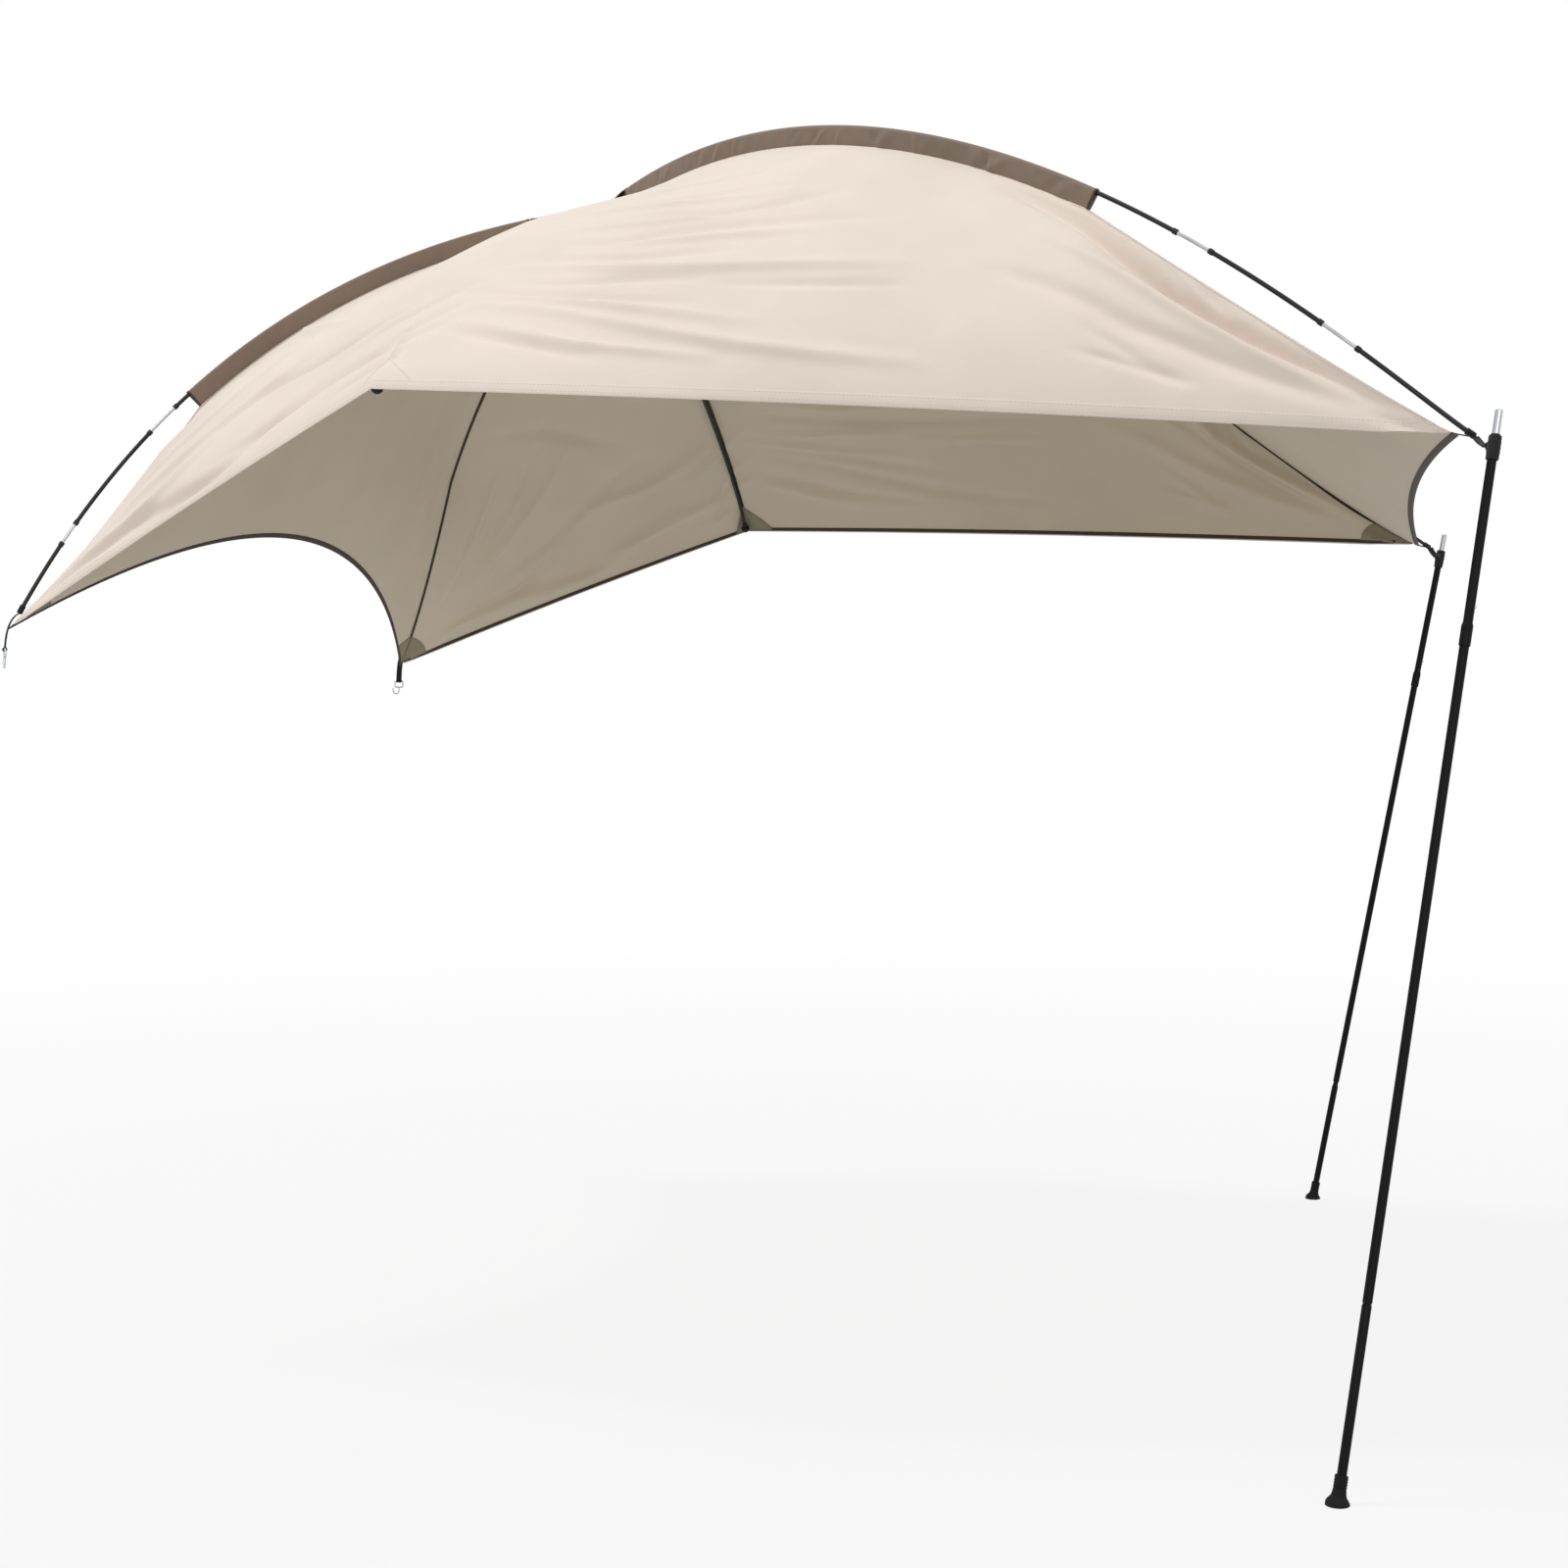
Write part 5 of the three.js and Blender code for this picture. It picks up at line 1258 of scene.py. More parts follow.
class TENT_OT_facings(bpy.types.Operator):
    """Sews a facing under each corner of the canopy"""

    bl_idname = "tent.facings"
    bl_label = "Corner facings"

    def execute(self, context):
        sizes, panels = canopy_of(context)
        v = np.linspace(0.02, 0.97, 19)
        along = np.linspace(0, 1, 15)[:, None]
        for name, side in SIDES:
            cloth = SideCloth(panels, name, sizes)
            inward = np.array([0, -side, -0.5])
            # how far each facing reaches from its corner, at the hem and at the arch
            for part, half, turn, low, high in (
                ("front", cloth.front, 1, 0.140, 0.112),
                ("rear", cloth.rear, -1, 0.080, 0.095),
            ):
                length = np.linalg.norm(half.end(v) - half.start(v), axis=-1)
                start = 1 - (low + (high - low) * v) / length
                end = 1 - (CORNER_TRIM + 0.002) / length
                s = turn * (start * (1 - along) + end * along)
                points = cloth.at(s, v[None, :], UNDER_CLOTH)
                self.facing(f"{name}_{part}_corner", points, inward, sizes, (f"{name}_{part}_corner_patch",))
            self.middle(name, cloth, inward, sizes)
            self.rear_roof(name, side, panels["rear"], sizes)
        return {"FINISHED"}

    def facing(self, corner, points, inward, sizes, replaces=()):
        name, on = f"{corner}_facing", corner.split("_")[0] + "_side_cloth"
        strip_piece(name, points, inward, "facing", 0.0008, on, replaces)
        row = rim_row(points, 0.004, inward, 0.0009)
        sew(f"{name}_stitches", [row], sizes.stitch_pitch, "tape", "patch_cloth", thickness=0.0004)

    def middle(self, name, cloth, inward, sizes):
        share = np.linspace(-1, 1, 25)
        reach = np.where(share < 0, 0.038 / REAR_RUN, 0.078 / FRONT_RUN) * share
        top = 0.058 * (1 - np.abs(share) ** 0.9) + 0.006
        cloth_height = 0.95
        v = np.linspace(0.004, 1, 9)[:, None] * (top / cloth_height)
        s = np.broadcast_to(reach, v.shape)
        points = cloth.at(s, v, UNDER_CLOTH - 0.0006)
        self.facing(f"{name}_middle_corner", points, inward, sizes, (f"{name}_middle_corner_patch",))
        edge = cloth.at(s[-1], v[-1], 0.0007)
        rows = [(edge, np.broadcast_to(-inward, edge.shape))]
        sew(f"{name}_middle_corner_stitches", rows, 0.0055, length=0.0046, thickness=0.0007)

    def rear_roof(self, name, side, panel, sizes):
        along = np.linspace(0, 1, 13)[:, None]
        v = np.linspace(0.04, 1, 11)[None, :] * (0.004 + 0.040 * along)
        points = panel.at(0.945 + 0.053 * along, v if side < 0 else 1 - v, UNDER_CLOTH)
        self.facing(f"{name}_rear_roof", points, np.array([1.0, 0, -1]), sizes)


# Sleeves and the cover over the crossing

SLEEVE_WRAP = 0.34  # the share of a sleeve's half that lies round the rod
WRAP_ANGLE = math.radians(104)


def sleeve_points(arch, distances, puckers, grow=0.0):
    """Cloth folded over the rod and sewn together under it."""
    share = np.linspace(-1, 1, 27)
    reach, face_of = np.abs(share), np.sign(share)
    arc = np.minimum(reach / SLEEVE_WRAP, 1) * WRAP_ANGLE
    radius = 0.0056 + grow
    fall = np.clip((reach - SLEEVE_WRAP) / (1 - SLEEVE_WRAP), 0, 1)
    sideways = face_of * (radius * np.sin(arc) * (1 - fall) ** 0.8 + (0.0011 + grow) * fall)
    upwards = radius * np.cos(arc) - fall * (SLEEVE_HEIGHT + radius * math.cos(WRAP_ANGLE))
    slack = np.sin(np.pi * fall) * 0.8 + 0.25 * (fall > 0)
    wrinkle = np.zeros((len(distances), len(share)))
    for middle, width, depth, slope, face in puckers:
        over = (distances[:, None] - middle - slope * fall) / width
        on_face = np.where(face_of == face, 1.0, 0.35)
        wrinkle += depth * (np.exp(-(over**2)) - 0.6 * np.exp(-((over - 1.6) ** 2))) * on_face
    points, tangents = arch.at(distances), arch.tangent(distances)
    normals = normal_to(tangents)
    across = np.cross(tangents, normals)
    spread = (sideways + face_of * wrinkle * slack)[..., None]
    return points[:, None] + across[:, None] * spread + normals[:, None] * upwards[:, None]


class TENT_OT_sleeves(bpy.types.Operator):
    """Models the pole sleeve of each arm of the arches, puckered along its seam"""

    bl_idname = "tent.sleeves"
    bl_label = "Pole sleeves"

    def execute(self, context):
        for name, side in SIDES:
            own, other = ARCH[side], ARCH[-side]
            front = FRONT_SLEEVE_START, own.crossing - FRONT_SLEEVE_END
            rear = other.crossing + REAR_SLEEVE_END, other.length - REAR_SLEEVE_START
            self.sleeve(f"{name}_front_sleeve", own, *front, 7 + side)
            self.sleeve(f"{name}_rear_sleeve", other, *rear, 17 + side)
        return {"FINISHED"}

    def sleeve(self, node, arch, start, end, seed):
        length = end - start
        puckers = self.puckers(start, length, np.random.default_rng(seed))
        points = sleeve_points(arch, np.linspace(start, end, int(length / 0.004)), puckers)
        obj = dressed(laid_grid(f"{node}_cloth", points, UP), finish("sleeve"))
        thicken(obj, 0.0007)
        handed_over(obj, "canopy", (node,))
        # each end of the sleeve gets a dark band in the tape finish: painted shade on the hem of the sleeve's
        # mouth
        ends = []
        for first, last in ((start - 0.0004, start + 0.004), (end - 0.004, end + 0.0004)):
            rows = sleeve_points(arch, np.linspace(first, last, 5), puckers, 0.0009)
            ends.append(dressed(laid_grid("mouth", rows, UP), finish("tape")))
        mouth_shade_bands = joined(f"{node}_mouths", ends)
        thicken(mouth_shade_bands, 0.0006)
        handed_over(mouth_shade_bands, "canopy")

    def puckers(self, start, length, random):
        """Where each pucker is, its width, depth and slope, and the face that shows it most."""
        count = int(length / 0.045)
        middles = start + length * (np.arange(count) + random.uniform(0.1, 0.9, count)) / count
        widths = random.uniform(0.006, 0.015, count)
        depths = random.uniform(0.0012, 0.0036, count)
        slopes = random.uniform(-0.03, 0.03, count)
        return list(zip(middles, widths, depths, slopes, random.choice((-1.0, 1.0), count)))


def around(spokes, steps):
    """Smooth spokes between the given ones, all the way round."""
    count = len(spokes)
    rounds = []
    for k in range(count):
        a, b, c, d = (spokes[(k + i - 1) % count] for i in range(4))
        for t in np.linspace(0, 1, steps, endpoint=False):
            bend = (c - a) * t + (2 * a - 5 * b + 4 * c - d) * t**2 + (3 * b - a - 3 * c + d) * t**3
            rounds.append(b + 0.5 * bend)
    return rounds + rounds[:1]


class TENT_OT_apex_cover(bpy.types.Operator):
    """Draws the apex cover over the crossing of the arches"""

    bl_idname = "tent.apex_cover"
    bl_label = "Apex cover"

    def execute(self, context):
        _, panels = canopy_of(context)
        shares = np.linspace(0, 1, 19)

        def height(distance):
            return crossing_lift(distance) + ROD_RADIUS + 0.002

        peak = CROWN + UP * height(0.0)

        def on_arm(curve, reach):
            share = shares * reach / curve.length
            return curve.at(share) + normal_to(curve.tangent(share)) * height(shares * reach)[:, None]

        def between(edge):
            droop = -0.010 * 4 * shares * (1 - shares)
            return peak + (edge + UP * 0.0018 - peak) * shares[:, None] + UP * droop[:, None]

        # how far the cover reaches from the crossing, and the lengths of the ways that it lies on
        front_reach, rear_reach, short_reach, long_reach = 0.110, 0.190, 0.078, 0.108
        front_middle, rear_middle, hoop_half = 1.871, 1.672, 1.371
        ahead = between(panels["front"].at(short_reach / front_middle, 0.5))
        behind = between(panels["rear"].at(long_reach / rear_middle, 0.5))
        beside = {side: between(HOOP[side].at(1 - short_reach / hoop_half)) for _, side in SIDES}
        front = {side: on_arm(FRONT_ARM[side], front_reach) for _, side in SIDES}
        rear = {side: on_arm(REAR_ARM[side], rear_reach) for _, side in SIDES}
        spokes = [front[-1], ahead, front[1], beside[1], rear[1], behind, rear[-1], beside[-1]]
        points = np.stack(around(spokes, 9), axis=1)
        obj = dressed(laid_grid("apex_cloth", points, UP), finish("outer"), finish("inner"))
        mapped(obj, np.array([vertex.co[:2] for vertex in obj.data.vertices]))
        edit(obj, merge(1e-5))
        thicken(obj, 0.0008, material_offset=1)
        handed_over(obj, "canopy", ("apex_cover",))
        return {"FINISHED"}


# Poles


def tube_rings(start, end, collar_at_start, collar_at_end):
    """[distance, radius] along a tube, with a collar on each end that takes a ferrule."""
    chamfer, length, step = 0.0007, 0.010, 0.0001
    worn = COLLAR_RADIUS - chamfer
    rings = [(start, ROD_RADIUS - ROD_BREAK), (start + chamfer, ROD_RADIUS)]
    if collar_at_start:
        rings = [(start, worn), (start + chamfer, COLLAR_RADIUS)]
        rings += [(start + length - chamfer, COLLAR_RADIUS), (start + length, worn)]
        rings += [(start + length + step, ROD_RADIUS)]
    inner_end = end - (length if collar_at_end else chamfer)
    count = max(2, int((inner_end - rings[-1][0]) / 0.02))
    rings += [(mark, ROD_RADIUS) for mark in np.linspace(rings[-1][0], inner_end, count)[1:]]
    if collar_at_end:
        rings += [(end - length + step, worn), (end - length + chamfer, COLLAR_RADIUS)]
        return rings + [(end - chamfer, COLLAR_RADIUS), (end, worn)]
    return rings + [(end, ROD_RADIUS - ROD_BREAK)]


class TENT_OT_arches(bpy.types.Operator):
    """Models the tubes and ferrules of both long arches"""

    bl_idname = "tent.arches"
    bl_label = "Long arches"

    def execute(self, context):
        bridge = 0.072  # the free length of a ferrule between two tubes
        for name, side in SIDES:
            arch = ARCH[side]
            rear_end = arch.length - ROD_SETBACK
            rear_tip = rear_end - 0.172
            run_end = rear_tip - 0.045
            neck = run_end - 0.261
            tubes = (
                ("front_tip_rod", 0.0, 0.252, False, True),
                ("front_rod", 0.324, 0.579, True, True),
                ("long_run", 0.651, neck - bridge, True, True),
                ("run_tail", neck, run_end, True, True),
                ("rear_tip_rod", rear_tip, rear_end, True, False),
            )
            ferrules = (
                ("front_ferrule", 0.252, 0.324),
                ("second_ferrule", 0.579, 0.651),
                ("neck_ferrule", neck - bridge, neck),
                ("rear_ferrule", run_end, rear_tip),
            )
            for part, *ends in tubes:
                self.bar(f"{name}_arch_{part}", "tube", arch, tube_rings(*ends), "fibre", "fibreglass")
            for part, start, end in ferrules:
                inner = np.linspace(start + 0.005, end - 0.005, 6)
                rings = [(mark, FERRULE_RADIUS) for mark in (start, start + 0.0012, *inner, end)]
                self.bar(f"{name}_arch_{part}", "sleeve", arch, rings, "bright", "bright_steel")
        return {"FINISHED"}

    def bar(self, node, form, arch, rings, key, slot):
        distances, radii = np.array(rings).T
        obj = bent_rod(f"{node}_{form}", arch.at(distances), radii, key)
        handed_over(obj, "canopy", (node,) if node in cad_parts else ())


def towards(direction, origin=(0, 0, 0)):
    """A frame at origin whose Z axis points in a direction."""
    turn = Vector((0, 0, 1)).rotation_difference(Vector(direction))
    return Matrix.Translation(Vector(origin)) @ turn.to_matrix().to_4x4()


def rod_pocket(name, end, out):
    """The moulded cap on the end of a rod. Heights are measured from the rod's end."""
    profile = (
        (0.0052, -0.0156), (0.0058, -0.0156), (0.0064, -0.0150), (0.0064, -0.0138), (0.0059, -0.0130),
        (0.0060, 0.0), (0.0056, 0.0016), (0.0044, POCKET_FLOOR), (0.0, POCKET_FLOOR), (0.0, 0.0004),
        (0.0052, 0.0004),
    )
    return placed(turned(name, profile, 36, "nylon"), towards(out, end))


class TENT_OT_hoop(bpy.types.Operator):
    """Models the hoop under the cloth and the ball on each of its ends"""

    bl_idname = "tent.hoop"
    bl_label = "Hoop"

    def execute(self, context):
        share = np.linspace(0, 1, 1201)
        left, right = HOOP[-1].at(np.clip(2 * share, 0, 1)), HOOP[1].at(np.clip(2 - 2 * share, 0, 1))
        seam = np.where((share < 0.5)[:, None], left, right)
        normals = np.cross(unit(np.gradient(seam, axis=0)), (1.0, 0, 0))
        normals *= np.sign(normals[:, 2])[:, None]
        # the rod lies under the common edge of the panels, deepest at the crown
        drop = 0.018 + 0.004 * np.sin(np.pi * share)
        setback = 0.008 / np.linalg.norm(middle_corner(1) - CLOTH_CROWN)
        points = read(seam - unit(normals) * drop[:, None], share, np.linspace(setback, 1 - setback, 150))
        radii = np.full(len(points), ROD_RADIUS)
        radii[[0, -1]] -= ROD_BREAK
        handed_over(bent_rod("hoop_bow", points, radii, "fibre"), "canopy", ("hoop_rod",))
        for name, side in SIDES:
            end, before = points[[0, 1]] if side < 0 else points[[-1, -2]]
            self.ball(name, end, unit(end - before))
        return {"FINISHED"}

    def ball(self, name, end, out):
        """A ball over a collar that takes the rod, with a cord hole. Heights start at the rod's end."""
        radius, middle, girth = 0.0115, 0.0024, 0.0002
        bore, collar, collar_end, floor = 0.00505, 0.0063, -0.0156, 0.0004
        arc = []
        for angle in np.linspace(math.asin(collar / radius), math.pi, 22)[:-1]:
            mould_line = girth if abs(angle - math.pi / 2) < 0.08 else 0
            arc.append((radius * math.sin(angle) + mould_line, middle - radius * math.cos(angle)))
        profile = [(bore, collar_end), (0.0058, collar_end), (collar, collar_end + 0.0006), *arc]
        profile += [(0.0, middle + radius), (0.0, floor), (bore, floor)]
        obj = turned(f"{name}_hoop_end", profile, 40, "nylon")
        drill(obj, 0.0025, 0.04, 20, (0, 0, middle + radius / 2))
        handed_over(placed(obj, towards(out, end)), "canopy", (f"{name}_hoop_ball",))


# Uprights


def upright_frame(side):
    """A frame at the foot whose Z axis runs up the tube, and the tube's length."""
    run = shoulder(side) - foot_point(side)
    return towards(unit(run), foot_point(side)), float(np.linalg.norm(run))


def tube_loop(rings):
    """A closed section of a tube from its outer [radius, height] points, with broken edges."""
    edge = 0.0004
    (first_radius, low), (last_radius, high) = rings[0], rings[-1]
    outer = [(first_radius - edge, low), (first_radius, low + edge), *rings[1:-1]]
    outer += [(last_radius, high - edge), (last_radius - edge, high)]
    return outer + [(radius - TUBE_WALL, height) for radius, height in reversed(rings)]


class TENT_OT_uprights(bpy.types.Operator):
    """Models the tubes, spigot and button of both uprights"""

    bl_idname = "tent.uprights"
    bl_label = "Uprights"

    def execute(self, context):
        neck, overlap, gap = TUBE_RADIUS - TUBE_WALL - 0.00035, 0.060, 0.0004
        shortest = min(upright_frame(side)[1] for _, side in SIDES)
        bottom = shortest - TOP_LENGTH - MIDDLE_LENGTH - gap
        for name, side in SIDES:
            matrix, length = upright_frame(side)
            mouth = length - TOP_LENGTH
            flare = mouth + SOCKET_LENGTH
            waist = flare + 0.006
            button = waist + 0.027
            socket = 0.0097
            top = [(socket, mouth), (socket, flare), (TUBE_RADIUS + 0.0007, flare + 0.0035)]
            top += [(TUBE_RADIUS, waist), (TUBE_RADIUS, length)]
            drawn_in = flare - gap
            middle = [(TUBE_RADIUS, mouth - MIDDLE_LENGTH), (TUBE_RADIUS, drawn_in - 0.004)]
            middle += [(neck, drawn_in), (neck, drawn_in + overlap)]
            low = [(TUBE_RADIUS, 0.0094), (TUBE_RADIUS, bottom - 0.004)]
            low += [(neck, bottom), (neck, bottom + overlap)]
            spigot = [(neck, length - 0.030), (neck, length + 0.0408), (neck - 0.0006, length + 0.042)]
            for part, node, body, rings, hole in (
                ("top_tube", "top_section", "upright", top, button),
                ("middle_tube", "middle_section", "upright", middle, button),
                ("bottom_tube", "bottom_section", "lower", low, None),
                ("bright_spigot", "spigot", "upright", spigot, None),
            ):
                key, slot = ("bright", "bright_steel") if node == "spigot" else ("paint", "painted_steel")
                obj = self.tube(f"{name}_{part}", rings, matrix, key, hole)
                handed_over(obj, f"{name}_{body}", (f"{name}_{node}",))
            self.button(name, matrix, button)
        return {"FINISHED"}

    def tube(self, name, rings, matrix, key, hole):
        spaced = [rings[0]]
        for before, after in zip(rings, rings[1:]):
            count = max(1, int((after[1] - before[1]) / 0.12))
            for i in range(1, count + 1):
                spaced.append(tuple(a + (b - a) * i / count for a, b in zip(before, after)))
        obj = turned(name, tube_loop(spaced), 48, key)
        if hole:
            drill(obj, 0.0034, 0.008, 24, (TUBE_RADIUS, 0, hole))
        return placed(obj, matrix)

    def button(self, name, matrix, height):
        radius, dome, face = 0.003, 0.0014, TUBE_RADIUS + 0.0026
        profile = [(0, 0.003), (0.0034, 0.003), (0.0034, 0.004), (radius, 0.004), (radius, face - dome)]
        for angle in np.linspace(0.2, math.pi / 2, 6)[:-1]:
            profile.append((radius * math.cos(angle), face - dome + dome * math.sin(angle)))
        profile.append((0.0, face))
        across = matrix @ Matrix.Translation((0, 0, height)) @ Matrix.Rotation(math.pi / 2, 4, "Y")
        obj = placed(turned(f"{name}_spring_button", profile, 28, "bright"), across)
        handed_over(obj, f"{name}_button", (f"{name}_snap_button",))


class TENT_OT_feet(bpy.types.Operator):
    """Moulds a rubber foot on each upright and cuts it level with the ground"""

    bl_idname = "tent.feet"
    bl_label = "Feet"

    def execute(self, context):
        radius, height, collar = 0.020, 0.025, 0.0105
        shape = (
            (1, -0.3), (1, 0.06), (0.985, 0.12), (0.95, 0.22), (0.86, 0.32), (0.76, 0.42), (0.67, 0.52),
            (0.61, 0.64), (0.575, 0.8), (0.55, 0.94),
        )
        rib = ((0, -0.0012), (0.0007, -0.0006), (0.0007, 0.0006), (0, 0.0012))
        collar_height = 0.022
        rim_shape = ((0.0004, 0.0205), (0.0004, 0.0216), (0, collar_height))
        bell = [(share * radius, rise * height) for share, rise in shape]
        ribs = [
            (collar + out, height + mark + rise)
            for mark in (0.004, 0.0085, 0.013, 0.0175)
            for out, rise in rib
        ]
        top = [(collar + out, height + rise) for out, rise in rim_shape]
        bore, floor = 0.0084, 0.009
        profile = [(0, -0.008), (radius, -0.008), *bell, *ribs, *top]
        profile += [(bore, height + collar_height), (bore, floor), (0, floor)]
        ground = {"plane_co": (0, 0, 0), "plane_no": (0, 0, 1), "use_fill": True, "clear_inner": True}
        for name, side in SIDES:
            obj = placed(turned(f"{name}_rubber_foot", profile, 56, "rubber"), upright_frame(side)[0])
            edit(obj, (bpy.ops.mesh.bisect, ground))
            handed_over(obj, f"{name}_lower", (f"{name}_foot",), 40)
        return {"FINISHED"}


# Webbing

EYE_SETBACK = 0.00245
EYE_RADIUS = 0.0022
WRAP_RADIUS = 0.0095
WRAP_HEIGHT = 0.042


def strap_forward(side):
    run = shoulder(side) - front_tip(side)
    return unit(run * (1, 1, 0))


def loop_bend(side):
    return shoulder(side) - strap_forward(side) * 0.021 - UP * 0.017


def roll(name, middle, across):
    """Webbing rolled round a bar: a short thick cylinder with soft ends."""
    marks = np.array([-1, -0.92, -0.5, 0, 0.5, 0.92, 1]) * STRAP_WIDTH / 2
    radii = EYE_RADIUS * np.array([0.82, 1, 1, 1, 1, 1, 0.82])
    return bent_rod(name, middle + across * marks[:, None], radii, "webbing", 4)


class TENT_OT_pole_loops(bpy.types.Operator):
    """Wraps the webbing loop round the top of each upright"""

    bl_idname = "tent.pole_loops"
    bl_label = "Pole loops"

    def execute(self, context):
        for name, side in SIDES:
            matrix, length = upright_frame(side)
            top = length - 0.002
            forward = strap_forward(side)
            across = np.cross(UP, forward)
            eye = loop_bend(side) + forward * EYE_SETBACK
            parts = [self.wrap(top, matrix), roll("eye", eye, across)]
            for height in (top - 0.006, top - WRAP_HEIGHT + 0.006):
                axis_point = np.array(matrix @ Vector((0, 0, height)))
                back = unit(eye - axis_point)
                share = np.linspace(0, 1, 9)[:, None]
                leg = eye + (axis_point + back * WRAP_RADIUS - eye) * share
                leg += np.cross(across, back) * 0.0006 * np.sin(np.pi * share)
                parts.append(ribbon("leg", leg, across))
            obj = joined(f"{name}_webbing_loop", parts)
            handed_over(obj, f"{name}_upright", (f"{name}_pole_loop",), 50)
        return {"FINISHED"}

    def wrap(self, top, matrix):
        """The turn of webbing round the tube, a little uneven in width and height."""
        angle, rise = np.linspace(0, 2 * math.pi, 57)[:, None], np.linspace(0, 1, 11)
        radius = WRAP_RADIUS + 0.0007 * np.sin(np.pi * rise) + 0.0003 * np.sin(9 * np.pi * rise)
        height = top - WRAP_HEIGHT + WRAP_HEIGHT * rise + 0.0008 * np.sin(3 * angle)
        points = np.stack([radius * np.cos(angle), radius * np.sin(angle), height], axis=-1)
        obj = dressed(laid_grid("wrap", points, (-1, 0, 0)), finish("webbing"))
        edit(obj, merge(1e-6), FACE_OUTWARDS)
        thicken(obj, 0.0021)
        soften(obj, 0.0006)
        return placed(obj, matrix)


class TENT_OT_front_straps(bpy.types.Operator):
    """Sews the strap and the rod pocket of each front corner"""

    bl_idname = "tent.front_straps"
    bl_label = "Front straps"

    def execute(self, context):
        share = np.linspace(0, 1, 13)[:, None]
        sag = UP * np.sin(np.pi * share)
        for name, side in SIDES:
            arch = ARCH[side]
            end, out = arch.at(0.0), -arch.tangent(0.003)
            floor = end + out * POCKET_FLOOR
            across = np.cross(UP, strap_forward(side))
            bar = loop_bend(side) - strap_forward(side) * EYE_SETBACK
            corner = front_corner(side)
            web = corner * (1 - share) + floor * share - 0.0010 * sag
            strap = floor * (1 - share) + bar * share - 0.0022 * sag
            parts = [
                ribbon("web", web, unit(np.cross(UP, floor - corner)), 0.012, 0.0014),
                ribbon("strap", strap, across),
                roll("eye", bar, across),
                rod_pocket("pocket", end, out),
            ]
            for offset in (0.005, -0.005):
                line = strap[2:6] + across * offset + UP * 0.0014
                rows = [(line, np.broadcast_to(UP, line.shape))]
                parts.append(stitches("tack", rows, 0.0035, "webbing", 0.0026, 0.0004))
            obj = joined(f"{name}_front_webbing", parts)
            handed_over(obj, "canopy", (f"{name}_front_strap",), 50)
        return {"FINISHED"}


def rear_directions(side):
    tangent = REAR_ARM[side].tangent(1.0)
    across = unit(np.cross(UP, tangent))
    return tangent, across, np.cross(across, UP)


def hook_bar(side):
    away = rear_directions(side)[2]
    return rear_corner(side) + away * 0.016 - UP * 0.050


class TENT_OT_rear_straps(bpy.types.Operator):
    """Sews the strap that carries the hook at each rear corner"""

    bl_idname = "tent.rear_straps"
    bl_label = "Rear straps"

    def execute(self, context):
        share = np.linspace(0, 1, 25)[:, None]
        # the strap's end is rolled up round the hook's bar
        bore, thick, half = 0.0026, 0.0045, STRAP_WIDTH / 2
        profile = ((bore, -half), (0.0040, -half), (thick, -0.0074))
        profile += ((thick, 0.0074), (0.0040, half), (bore, half))
        for name, side in SIDES:
            tangent, across, _ = rear_directions(side)
            arch = ARCH[-side]
            end = arch.at(arch.length - ROD_SETBACK)
            floor = end + tangent * POCKET_FLOOR
            bar = hook_bar(side)
            past = rear_corner(side) + normal_to(tangent) * 0.009
            last = bar - unit(bar - past) * 0.0042
            bend = past + (past - (floor + last) / 2) * 0.55
            route = (1 - share) ** 2 * floor + 2 * share * (1 - share) * bend + share**2 * last
            parts = [
                ribbon("strap", route, across, outside=normal_to(tangent)),
                placed(turned("eye", profile, 28, "webbing"), towards(across, bar)),
                rod_pocket("pocket", end, tangent),
            ]
            obj = joined(f"{name}_rear_webbing", parts)
            handed_over(obj, "canopy", (f"{name}_rear_strap",), 50)
        return {"FINISHED"}


class TENT_OT_hooks(bpy.types.Operator):
    """Bends the wire ring and hook of each rear corner"""

    bl_idname = "tent.hooks"
    bl_label = "Rear hooks"

    def execute(self, context):
        wire, half, depth, bend = 0.002, 0.012, 0.018, 0.004
        # the ring is drawn round its four corners; X runs along the bar that the strap is sewn round
        inner, low = half - bend, -depth + bend
        ring = []
        for x, z, start in ((inner, -bend, 90), (inner, low, 0), (-inner, low, -90), (-inner, -bend, 180)):
            for degrees in np.linspace(start, start - 90, 8):
                angle = math.radians(degrees)
                ring.append((x + bend * math.cos(angle), z + bend * math.sin(angle)))
        end, throat = -depth - 0.010, 0.009
        hook = [(0, -depth + 0.001), (0, -depth - 0.004), (0, end)]
        for angle in np.linspace(0.1, math.pi, 22):
            hook.append((throat * (1 - math.cos(angle)), end - throat * math.sin(angle)))
        hook += [(2 * throat, end + 0.004), (2 * throat + 0.0006, end + 0.0079)]
        radii = np.full(len(hook), wire)
        radii[-1] = 0.0013
        for name, side in SIDES:
            across = rear_directions(side)[1] * side

            def at(route):
                along, rise = np.array(route).T[..., None]
                return hook_bar(side) + across * along + UP * rise

            parts = [
                bent_rod("ring", at(ring), wire, "bright", 5, cyclic=True),
                bent_rod("hook", at(hook), radii, "bright", 5),
            ]
            obj = joined(f"{name}_wire_hook", parts)
            handed_over(obj, f"{name}_hook", (f"{name}_rear_hook",), 50)
        return {"FINISHED"}


class TENT_OT_inner_cords(bpy.types.Operator):
    """Gives the shock cords, which stay as packed, their braided sheath"""

    bl_idname = "tent.inner_cords"
    bl_label = "Shock cords"

    def execute(self, context):
        for name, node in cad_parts.items():
            if name.endswith("shock_cord"):
                dressed(node, finish("elastic"))
        return {"FINISHED"}


# Studio


